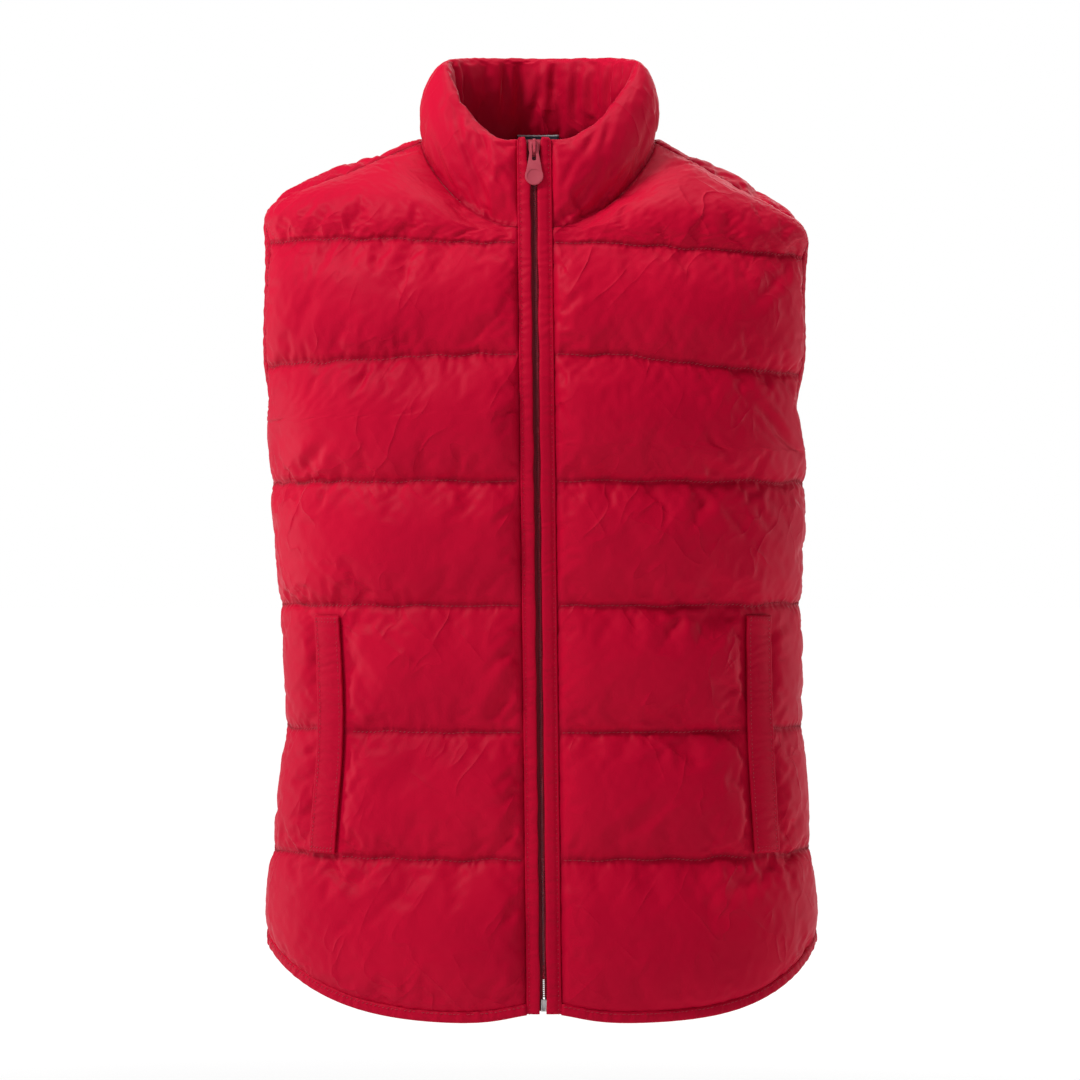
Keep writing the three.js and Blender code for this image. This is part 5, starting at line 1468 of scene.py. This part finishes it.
def copies(name, shape, places, axes, sizes):
    """Many copies of one small shape in one mesh: places in millimetres, three axes and sizes for each."""
    points, faces = shape
    local = points[None] * np.asarray(sizes)
    made = places[:, None] + np.einsum("nkj,nij->nki", local, axes.transpose(0, 2, 1))
    ids = np.array([len(points) * k for k in range(len(places))])
    every = [[i + start for i in face] for start in ids for face in faces]
    piece = link_mesh(name, made, every)
    mark_cloth(piece, 0, 0, np.zeros(1))
    return piece


def stitches(name, lines, length, thick, seed):
    """Stitches along lines, each given as points and normals."""
    places, axes = [], []
    draw = np.random.default_rng(seed)
    for points, normals, closed in lines:
        at, up = resampled(points, length, normals, closed=closed)
        run, up = tangents(at, closed), unit(up)
        run = unit(run + up * draw.uniform(-0.05, 0.05, (len(at), 1)))
        across = unit(np.cross(up, run))
        places.append(at + across * draw.uniform(-0.1, 0.1, (len(at), 1)))
        axes.append(np.stack([run, across, np.cross(run, across)], axis=1))
    places, axes = np.concatenate(places), np.concatenate(axes).transpose(0, 2, 1)
    piece = copies(name, stitch_shape(), places, axes, (length * 0.84, thick, thick * 0.8))
    dress(piece, "thread")
    declare(piece, VEST, "shell")
    return piece


class VestSizes(bpy.types.PropertyGroup):
    """Sizes that shape the cloth"""

    cloth_step: FloatProperty(
        name="Cloth step", description="Distance between the points of the simulated cloth, in millimetres",
        default=4.6, min=3, max=12)
    spare_cloth: FloatProperty(
        name="Spare cloth", description="Cloth that is cut wider than the panel, as a share",
        default=0.018, min=0, max=0.1)
    first_fill: FloatProperty(
        name="First filling", description="Share of the filling before the air goes in",
        default=0.8, min=0, max=1, subtype="FACTOR")
    air_pressure: FloatProperty(
        name="Air pressure", description="Pressure of the filling on the cloth", default=2.0, min=0, max=10)
    seam_wander: FloatProperty(
        name="Seam wander", description="How far a quilting line strays, in millimetres",
        default=0.9, min=0, max=3)
    stitch: FloatProperty(
        name="Stitch", description="Length of one stitch along a seam, in millimetres",
        default=3.5, min=1.5, max=8)


def colour_prop(name, description, default):
    return FloatVectorProperty(
        name=name, description=description, default=default, subtype="COLOR", min=0, max=1)


class VestColours(bpy.types.PropertyGroup):
    """Colours of the vest, as linear light"""

    nylon: colour_prop("Nylon", "Outer cloth", (0.50, 0.002, 0.026))
    # This colour gives the cloudy dye its denser tone and, darker still, paints shade into the grooves.
    nylon_deep_dye_and_groove_shade: colour_prop("Deep nylon", "Outer cloth where the dye is denser", (0.40, 0.0, 0.021))
    nylon_faded: colour_prop("Faded nylon", "Outer cloth and lacquer where worn", (0.58, 0.02, 0.055))
    sheen: colour_prop("Sheen", "Light that grazes the outer cloth", (1.0, 0.36, 0.4))
    lining: colour_prop("Lining", "Cloth on the inside", (0.010, 0.011, 0.020))
    tape: colour_prop("Tape", "Zip tape and coil", (0.22, 0.003, 0.016))
    pull: colour_prop("Pull tab", "Lacquer on the slider and the pull tab", (0.45, 0.05, 0.08))
    metal: colour_prop("Metal", "Box at the zip's foot", (0.42, 0.40, 0.40))
    thread: colour_prop("Thread", "Sewing thread", (0.30, 0.002, 0.018))


class VEST_OT_panels(bpy.types.Operator):
    """Makes the two padded fronts and the padded back"""

    bl_idname = "vest.panels"
    bl_label = "Padded panels"

    def execute(self, context):
        for panel, node in PANELS:
            rows, shares, grid, _, puff = settled_panel(panel)
            piece = padded_wall(
                "padded_" + node, rows, shares, grid,
                lambda few, row, panel=panel: panel_offset(panel, few, row, 0.0), panel != LEFT)
            mark_cloth(piece, shares[None] * SHARE_LENGTH, rows[:, None] * ROW_LENGTH, puff)
            dress(piece, "nylon")
            declare(piece, VEST, "shell", node)
        return {"FINISHED"}


class VEST_OT_collar(bpy.types.Operator):
    """Makes the padded stand collar"""

    bl_idname = "vest.collar"
    bl_label = "Stand collar"

    def execute(self, context):
        piece = closed_collar("padded_collar")
        declare(piece, VEST, "shell", "collar")
        return {"FINISHED"}


def trim(name, sections, slot, node, width, closed=False, look="nylon_trim"):
    """A strip of cloth that edges the vest or lies on it, through sections along its way."""
    sections = np.asarray(sections)
    piece = tube(name, sections, closed)
    middle = sections.mean(axis=1)
    far = way_along(middle)
    mark_cloth(piece, far[:, None], np.linspace(0, width, sections.shape[1])[None], 0.3)
    dress(piece, look)
    declare(piece, VEST, slot, node)


def puckered(section, points, seed, height=0.4):
    """A strip's section for each point, with its face gathered a little along the way."""
    at = way_along(points)
    lift = height * (ripple(at, 11, seed) + 0.5 * ripple(at, 5.5, seed + 1))
    sections = np.repeat(section[None], len(points), axis=0)
    raised = smooth(section[:, 1], section[:, 1].mean(), section[:, 1].max())
    sections[..., 1] += lift[:, None] * raised
    return sections


class VEST_OT_edges(bpy.types.Operator):
    """Makes the armhole bindings and the hem bands"""

    bl_idname = "vest.edges"
    bl_label = "Bound edges"

    def execute(self, context):
        for side, word in SIDES:
            points, normals, outs = armhole_edge(side)
            section = round_section(-1.6, BINDING + STRIP_GAP, -0.6, WALL + 1.4, 18)
            sections = sweep(points, normals, outs, puckered(section, points, 40 + side, 0.3))
            trim("armhole_band_" + word, sections, "shell", "binding_armhole_" + word, 10,
                 closed=True)
        for panel, node in PANELS:
            points, normals, outs = hem_edge(panel)
            section = round_section(-1.2, HEM_BAND, -1, WALL + 1.9, 18)
            sections = sweep(points, normals, outs, puckered(section, points, 50 + panel, 0.5))
            trim("hem_" + node, sections, "shell", "hem_band_" + node, 11)
        return {"FINISHED"}


class VEST_OT_zip_cloth(bpy.types.Operator):
    """Makes the plackets and the tapes beside the zip"""

    bl_idname = "vest.zip_cloth"
    bl_label = "Plackets and tapes"

    def execute(self, context):
        for side, word in SIDES:
            heights = np.linspace(ZIP_BOTTOM, ZIP_TOP, 225)
            trim("placket_cloth_" + word, self.placket(side, heights), "shell", "placket_" + word, 12)
            run = heights[::2]
            at = beside_zip(side, run, [[PLACKET_SEAM, PLACKET_BASE + PLACKET_THICK - 1.3]])[:, 0]
            facing = np.tile([0.0, -1.0, 0.0], (len(run), 1))
            lines = [(at, facing, False)]
            stitches("placket_stitches_" + word, lines, context.scene.vest_sizes.stitch, 0.5, 70 + side)
            heights = np.linspace(ZIP_BOTTOM + 2, ZIP_TOP - 1.5, 140)
            trim("zip_tape_cloth_" + word, self.tape(side, heights), "zip_tape", "zip_tape_" + word, 12,
                 look="tape")
        return {"FINISHED"}

    def placket(self, side, heights):
        """A folded strip with a sewn groove, a rounded top and a slightly wavy inner edge."""
        inner_edge = PLACKET_INNER[side]
        top_face = PLACKET_BASE + PLACKET_THICK
        section = round_section(inner_edge, PLACKET_OUTER, PLACKET_BASE, top_face, 26, 3.4)
        spread = PLACKET_SPREAD * smooth(heights, -36, -14)
        sections = np.repeat(section[None], len(heights), axis=0)
        inwards = (PLACKET_OUTER - section[:, 0]) / (PLACKET_OUTER - inner_edge)
        sections[..., 0] += (spread + 0.3 * ripple(heights, 42, 60 + side))[:, None] * inwards
        top = smooth(section[:, 1], 2.5, 4.5)
        groove = np.exp(-(((section[:, 0] - PLACKET_SEAM) / 0.9) ** 2))
        lift = 0.22 * ripple(heights, 9, 62 + side) + 0.2 * ripple(heights, 30, 64 + side)
        sections[..., 1] += (lift[:, None] - 1.1 * groove) * top - 0.9 * (1 - inwards) * top
        tip = quarter_round(ZIP_TOP - heights + 0.4, 5)[:, None]
        sections[..., 0] = mix(inner_edge + 6, sections[..., 0], mix(0.4, 1, tip))
        return beside_zip(side, heights, sections)

    def tape(self, side, heights):
        section = round_section(0, 1, 0.1, 0.1 + TAPE_THICK, 10, 5)
        sections = np.repeat(section[None], len(heights), axis=0)
        inner = 0.6 + 1.8 * near_top(heights)
        sections[..., 0] = inner[:, None] + (PLACKET_OUTER - 0.3 - inner)[:, None] * section[:, 0]
        return beside_zip(side, heights, sections)


class VEST_OT_welts(bpy.types.Operator):
    """Makes the pocket welts with their stitching"""

    bl_idname = "vest.welts"
    bl_label = "Pocket welts"

    def execute(self, context):
        for side, word in SIDES:
            sections, lines = self.welt(side)
            trim("welt_cloth_" + word, sections, "shell", "welt_" + word, 25)
            stitches("welt_stitches_" + word, lines, context.scene.vest_sizes.stitch * 0.9, 0.5, 90 + side)
        return {"FINISHED"}

    def welt(self, side):
        """Sections up a welt, and the lines of its stitches."""
        low, high = WELT[side]
        rows = np.linspace(*WELT_ROWS, 120)
        section = round_section(0, 1, 0, WELT_THICK, 26, 4.5)
        dip = sum(np.exp(-(((section[:, 0] - place) / 0.05) ** 2)) for place in WELT_SEAMS)
        top = smooth(section[:, 1], 1.2, 2.6)
        made, edges = [], ([], [])
        for row in rows:
            full = quarter_round(min(row - rows[0], rows[-1] - row) * WELT_ROW_LENGTH + 0.3, 2.4)
            soft = 0.35 * ripple(row * WELT_ROW_LENGTH, 26, 80 + side) * top
            bulge = WELT_BULGE * math.sin(math.pi * (row - rows[0]) / (rows[-1] - rows[0]))
            up = section[:, 1] * full + soft * full + bulge * section[:, 0] ** 2 - 0.55 * dip * top * full
            shares = mix(low, high, section[:, 0])
            made.append(panel_offset(side, shares, row, panel_filling(side, shares, row) + LAID_ON_GAP + up))
            for edge, place in zip(edges, WELT_SEAMS):
                share = np.array([mix(low, high, place)])
                rise = LAID_ON_GAP + WELT_THICK - 0.3 + bulge * place**2
                edge.append(panel_offset(side, share, row, panel_filling(side, share, row) + rise)[0])
        facing = panel_normal(side, np.full(1, (low + high) / 2), 2.0)
        lines = [(np.array(edge[3:-3]), np.repeat(facing, len(edge) - 6, axis=0), False) for edge in edges]
        for row in (rows[0] + 0.02, rows[0] + 0.045, rows[-1] - 0.045, rows[-1] - 0.02):
            shares = np.linspace(*(mix(low, high, place) for place in WELT_SEAMS), 8)
            across = panel_offset(side, shares, row, panel_filling(side, shares, row) + WELT_THICK + 0.3)
            lines.append((across, np.repeat(facing, 8, axis=0), False))
        return made, lines


class VEST_OT_lining(bpy.types.Operator):
    """Makes the loose lining inside the panels and the tab at the back of the neck"""

    bl_idname = "vest.lining"
    bl_label = "Lining"

    def execute(self, context):
        for panel, node in PANELS:
            half = np.linspace(0, 1, 34)
            shares = np.concatenate([-half[:0:-1], half]) if panel == BACK else half
            rows = np.linspace(0.04, TOP_ROW - 0.04, 92)
            near = np.minimum(1 - np.abs(shares), 1 if panel == BACK else shares)[None, :]
            ends = np.minimum(rows, TOP_ROW - rows)[:, None]
            soft = smooth(near, 0, 0.12) * smooth(ends, 0.02, 0.4)
            wave = ripple(shares[None] * SHARE_LENGTH + rows[:, None] * 30, 70, 5 + panel)
            wave = wave + 0.6 * ripple(rows[:, None] * ROW_LENGTH + shares[None] * 60, 46, 15 + panel)
            depth = LINING_GAP + 1.5 * (1.2 + wave) * soft
            outer = np.array([panel_offset(panel, shares, row, -d) for row, d in zip(rows, depth)])
            inner = np.array([panel_offset(panel, shares, row, -d - LINING) for row, d in zip(rows, depth)])
            piece = sheet_wall("lining_cloth_" + node, outer, inner, panel != LEFT)
            dress(piece, "lining")
            declare(piece, VEST, "lining", "lining_" + node)
        self.neck_tab()
        return {"FINISHED"}

    def neck_tab(self):
        x, z = np.meshgrid(np.linspace(-TAB_HALF, TAB_HALF, 18), np.linspace(-TAB_DROP, TAB_RISE, 16))
        y = NECK_BACK[0] - TAB_IN - 1.2 * (x / TAB_HALF) ** 2 + 0.35 * np.sin(z / 6) * np.cos(x / 9)
        front = np.stack([x, y, NECK_BACK[1] + z], -1)
        tab = sheet_wall("neck_tab_cloth", front, front + np.array([0, TAB_THICK, 0]), False)
        dress(tab, "lining")
        declare(tab, VEST, "lining", "neck_tab")
        line = front[-1] + np.array([0, -0.15, -0.7])
        facing, up = (np.tile(way, (len(line), 1)) for way in ([0.0, -1.0, 0.0], [0.0, 0.0, 1.0]))
        edge = tube("neck_tab_line", sweep(line, facing, up, round_section(-0.6, 0.6, -0.2, 0.3, 8)))
        dress(edge, "grey_thread")
        declare(edge, VEST, "lining")


class VEST_OT_seam_stitches(bpy.types.Operator):
    """Sews the quilting lines, the armhole bands and the hem"""

    bl_idname = "vest.seam_stitches"
    bl_label = "Seam stitches"

    def execute(self, context):
        sizes = context.scene.vest_sizes
        for panel, node in PANELS:
            rows, shares, grid, normals, _ = settled_panel(panel)
            lines = []
            for line in range(1, 7):
                j = int(np.argmin(np.abs(rows - line)))
                facing = unit(softened(normals[j], 8))
                shown = slice(2, -2)
                if panel != BACK:
                    clear = under_welt(panel, shares, float(line)) < 0.5
                    if not clear.all():
                        first, last = np.flatnonzero(~clear)[[0, -1]]
                        lines.append((grid[j][2:first] + facing[2:first] * 0.35, facing[2:first], False))
                        shown = slice(last + 1, -2)
                lines.append((grid[j][shown] + facing[shown] * 0.35, facing[shown], False))
            stitches("quilting_stitches_" + node, lines, sizes.stitch, 0.55, 100 + panel)
            points, facing, outs = hem_edge(panel)
            at = points + outs * 0.9 + facing * (WALL + 1.95)
            lines = [(at[1:-1], facing[1:-1], False)]
            stitches("hem_stitches_" + node, lines, sizes.stitch, 0.5, 110 + panel)
        for side, word in SIDES:
            points, facing, outs = armhole_edge(side)
            at = points + outs * 0.9 + facing * (WALL + 1.55)
            stitches("armhole_stitches_" + word, [(at, facing, True)], sizes.stitch, 0.5, 120 + side)
        return {"FINISHED"}


class VEST_OT_zip_metal(bpy.types.Operator):
    """Makes the coil, the pull tab and the box at the zip's foot, and finishes the slider"""

    bl_idname = "vest.zip_metal"
    bl_label = "Zip"

    def execute(self, context):
        places, axes = [], []
        for side in (RIGHT, LEFT):
            heights = np.arange(*COIL_ENDS, COIL_PITCH) + (COIL_PITCH / 2 if side == LEFT else 0)
            middle = zip_point(heights)
            middle[:, 0] += side * COIL_ASIDE + COIL_OFFSET
            middle[:, 1] -= TAPE_THICK + 0.75
            across = unit(np.array([side * 1.0, 0.0, -COIL_SLANT]))
            turned = np.stack([across, [0.0, 1.0, 0.0], np.cross(across, [0.0, 1.0, 0.0])])
            places.append(middle)
            axes.append(np.repeat(turned[None], len(heights), axis=0).transpose(0, 2, 1))
        coil = copies("zip_coil", coil_shape(), np.concatenate(places), np.concatenate(axes), (1, 1, 1))
        faces_out(coil)
        dress(coil, "coil")
        declare(coil, VEST, "zip_teeth", "zip_chain")
        self.pull()
        self.box()
        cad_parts["zip_slider"].material_slots[0].material = finish("lacquer")
        return {"FINISHED"}

    def pull(self):
        """The pull tab about its hinge: a dished disc with a neck, and a slot for the slider's bridge."""
        radius, middle = (size * MM for size in PULL_DISC)
        tab = self.disc(radius, PULL_THICK * MM, (0, 0, middle))
        tab.name = tab.data.name = "pull_tab_bare"
        height, before = PULL_CUT
        bpy.ops.object.mode_set(mode="EDIT")
        bpy.ops.mesh.select_all(action="SELECT")
        bpy.ops.mesh.bisect(
            plane_co=(0, 0, height * MM), plane_no=(0, 0, 1), clear_outer=True, use_fill=True)
        for top, half in PULL_NECK:
            choose(tab, lambda face: face.normal.z > 0.9, "FACE")
            bpy.ops.mesh.extrude_region_move(TRANSFORM_OT_translate={"value": (0, 0, (top - height) * MM)})
            bpy.ops.transform.resize(value=(half / before, 1, 1), center_override=(0, 0, 0))
            height, before = top, half
        bpy.ops.object.mode_set(mode="OBJECT")
        fresh_start()
        bpy.ops.mesh.primitive_cube_add(size=1, location=(0, 0, PULL_SLOT_Z * MM))
        slot = bpy.context.active_object
        slot.scale = Vector(PULL_SLOT) * MM
        settle_place(slot)
        apply_modifier(slot, "BEVEL", width=1.2 * MM, segments=4, limit_method="ANGLE")
        cut_out(tab, slot)
        radius, deep = (size * MM for size in PULL_DISH)
        for side in (-1, 1):
            cut_out(tab, self.disc(radius, deep, (0, side * PULL_THICK / 2 * MM, middle)))
        self.rounded(tab, 0.28)
        tilt = Matrix.Rotation(-math.atan(COLLAR_LEAN), 4, "X")
        tab.data.transform(Matrix.Translation(Vector(PULL_PIVOT) * MM) @ tilt)
        dress(tab, "lacquer")
        declare(tab, PULL_TAB, "zip_pull", "zip_pull")

    def disc(self, radius, depth, place):
        fresh_start()
        bpy.ops.mesh.primitive_cylinder_add(
            vertices=64, radius=radius, depth=depth, location=place, rotation=(math.pi / 2, 0, 0))
        piece = bpy.context.active_object
        settle_place(piece)
        return piece

    def rounded(self, piece, width):
        """Rounds a metal piece's edges."""
        apply_modifier(piece, "BEVEL", width=width * MM, segments=3, limit_method="ANGLE")
        act_on(piece)
        bpy.ops.object.shade_smooth_by_angle(angle=SOFT_EDGE)

    def box(self):
        x, y, z = zip_point(np.array([FOOT_Z]))[0]
        fresh_start()
        bpy.ops.mesh.primitive_cube_add(size=1, location=(x * MM, (y - FOOT_FORWARD) * MM, z * MM))
        box = bpy.context.active_object
        box.name = box.data.name = "zip_foot"
        box.scale = Vector(FOOT_SIZE) * MM
        settle_place(box)
        bpy.ops.object.mode_set(mode="EDIT")
        choose(box, lambda face: face.normal.y < -0.9, "FACE")
        bpy.ops.mesh.inset(thickness=0.9 * MM)
        bpy.ops.mesh.extrude_region_move(TRANSFORM_OT_translate={"value": (0, 0.5 * MM, 0)})
        bpy.ops.object.mode_set(mode="OBJECT")
        self.rounded(box, 0.35)
        dress(box, "metal")
        declare(box, VEST, "zip_metal", "zip_box")


def area_light(name, size, watts, place, towards):
    data = bpy.data.lights.new(name, "AREA")
    data.shape = "RECTANGLE"
    data.size, data.size_y = size
    data.energy = watts
    light = bpy.data.objects.new(name, data)
    light.location = place
    light.rotation_euler = (Vector(towards) - Vector(place)).to_track_quat("-Z", "Y").to_euler()
    bpy.context.scene.collection.objects.link(light)


class VEST_OT_stage(bpy.types.Operator):
    """Sets up the floor, the soft lights and the camera"""

    bl_idname = "vest.stage"
    bl_label = "Stage"

    def execute(self, context):
        scene = context.scene
        fresh_start()
        bpy.ops.mesh.primitive_grid_add(x_subdivisions=8, y_subdivisions=8, size=1)
        floor = context.active_object
        floor.name = floor.data.name = "floor"
        floor.location = (0, 0, FLOOR_Z)
        floor.scale = (FLOOR_SIZE, FLOOR_SIZE, 1)
        settle_place(floor)
        dress(floor, "floor")
        for light in LIGHTS:
            area_light(*light)
        world = bpy.data.worlds.new("studio")
        world.use_nodes = True
        tree = world.node_tree
        tree.nodes.clear()
        path = tree.nodes.new("ShaderNodeLightPath")
        soft, clear = tree.nodes.new("ShaderNodeBackground"), tree.nodes.new("ShaderNodeBackground")
        soft.inputs["Strength"].default_value = ROOM_LIGHT
        clear.inputs["Color"].default_value = (1, 1, 1, 1)
        blend = tree.nodes.new("ShaderNodeMixShader")
        output = tree.nodes.new("ShaderNodeOutputWorld")
        tree.links.new(path.outputs["Is Camera Ray"], blend.inputs[0])
        tree.links.new(soft.outputs[0], blend.inputs[1])
        tree.links.new(clear.outputs[0], blend.inputs[2])
        tree.links.new(blend.outputs[0], output.inputs[0])
        scene.world = world
        scene.view_settings.view_transform = "Standard"
        lens = bpy.data.cameras.new("camera")
        lens.lens, lens.sensor_width = LENS, SENSOR
        camera = bpy.data.objects.new("camera", lens)
        camera.location = Vector(CAMERA) * MM
        camera.rotation_euler = (math.pi / 2, 0, 0)
        scene.collection.objects.link(camera)
        scene.camera = camera
        return {"FINISHED"}


class VEST_PT_sidebar(bpy.types.Panel):
    """Lists the vest's sizes, colours and pieces"""

    bl_idname = "VEST_PT_sidebar"
    bl_label = "Vest"
    bl_space_type = "VIEW_3D"
    bl_region_type = "UI"
    bl_category = "Vest"

    def draw(self, context):
        for group in (context.scene.vest_sizes, context.scene.vest_colours):
            for name in group.bl_rna.properties.keys():
                if name not in {"rna_type", "name"}:
                    self.layout.prop(group, name)
        for kind in OPERATORS:
            self.layout.operator(kind.bl_idname)


OPERATORS = (
    VEST_OT_panels, VEST_OT_collar, VEST_OT_edges, VEST_OT_zip_cloth, VEST_OT_welts, VEST_OT_lining,
    VEST_OT_seam_stitches, VEST_OT_zip_metal, VEST_OT_stage,
)
CLASSES = (VestSizes, VestColours, *OPERATORS, VEST_PT_sidebar)


def register():
    for kind in CLASSES:
        bpy.utils.register_class(kind)
    bpy.types.Scene.vest_sizes = PointerProperty(type=VestSizes)
    bpy.types.Scene.vest_colours = PointerProperty(type=VestColours)


def unregister():
    del bpy.types.Scene.vest_sizes, bpy.types.Scene.vest_colours
    for kind in reversed(CLASSES):
        bpy.utils.unregister_class(kind)


def main():
    register()
    bpy.ops.vest.panels()
    bpy.ops.vest.collar()
    bpy.ops.vest.edges()
    bpy.ops.vest.zip_cloth()
    bpy.ops.vest.welts()
    bpy.ops.vest.lining()
    bpy.ops.vest.seam_stitches()
    bpy.ops.vest.zip_metal()
    bpy.ops.vest.stage()


if __name__ == "__main__":
    main()
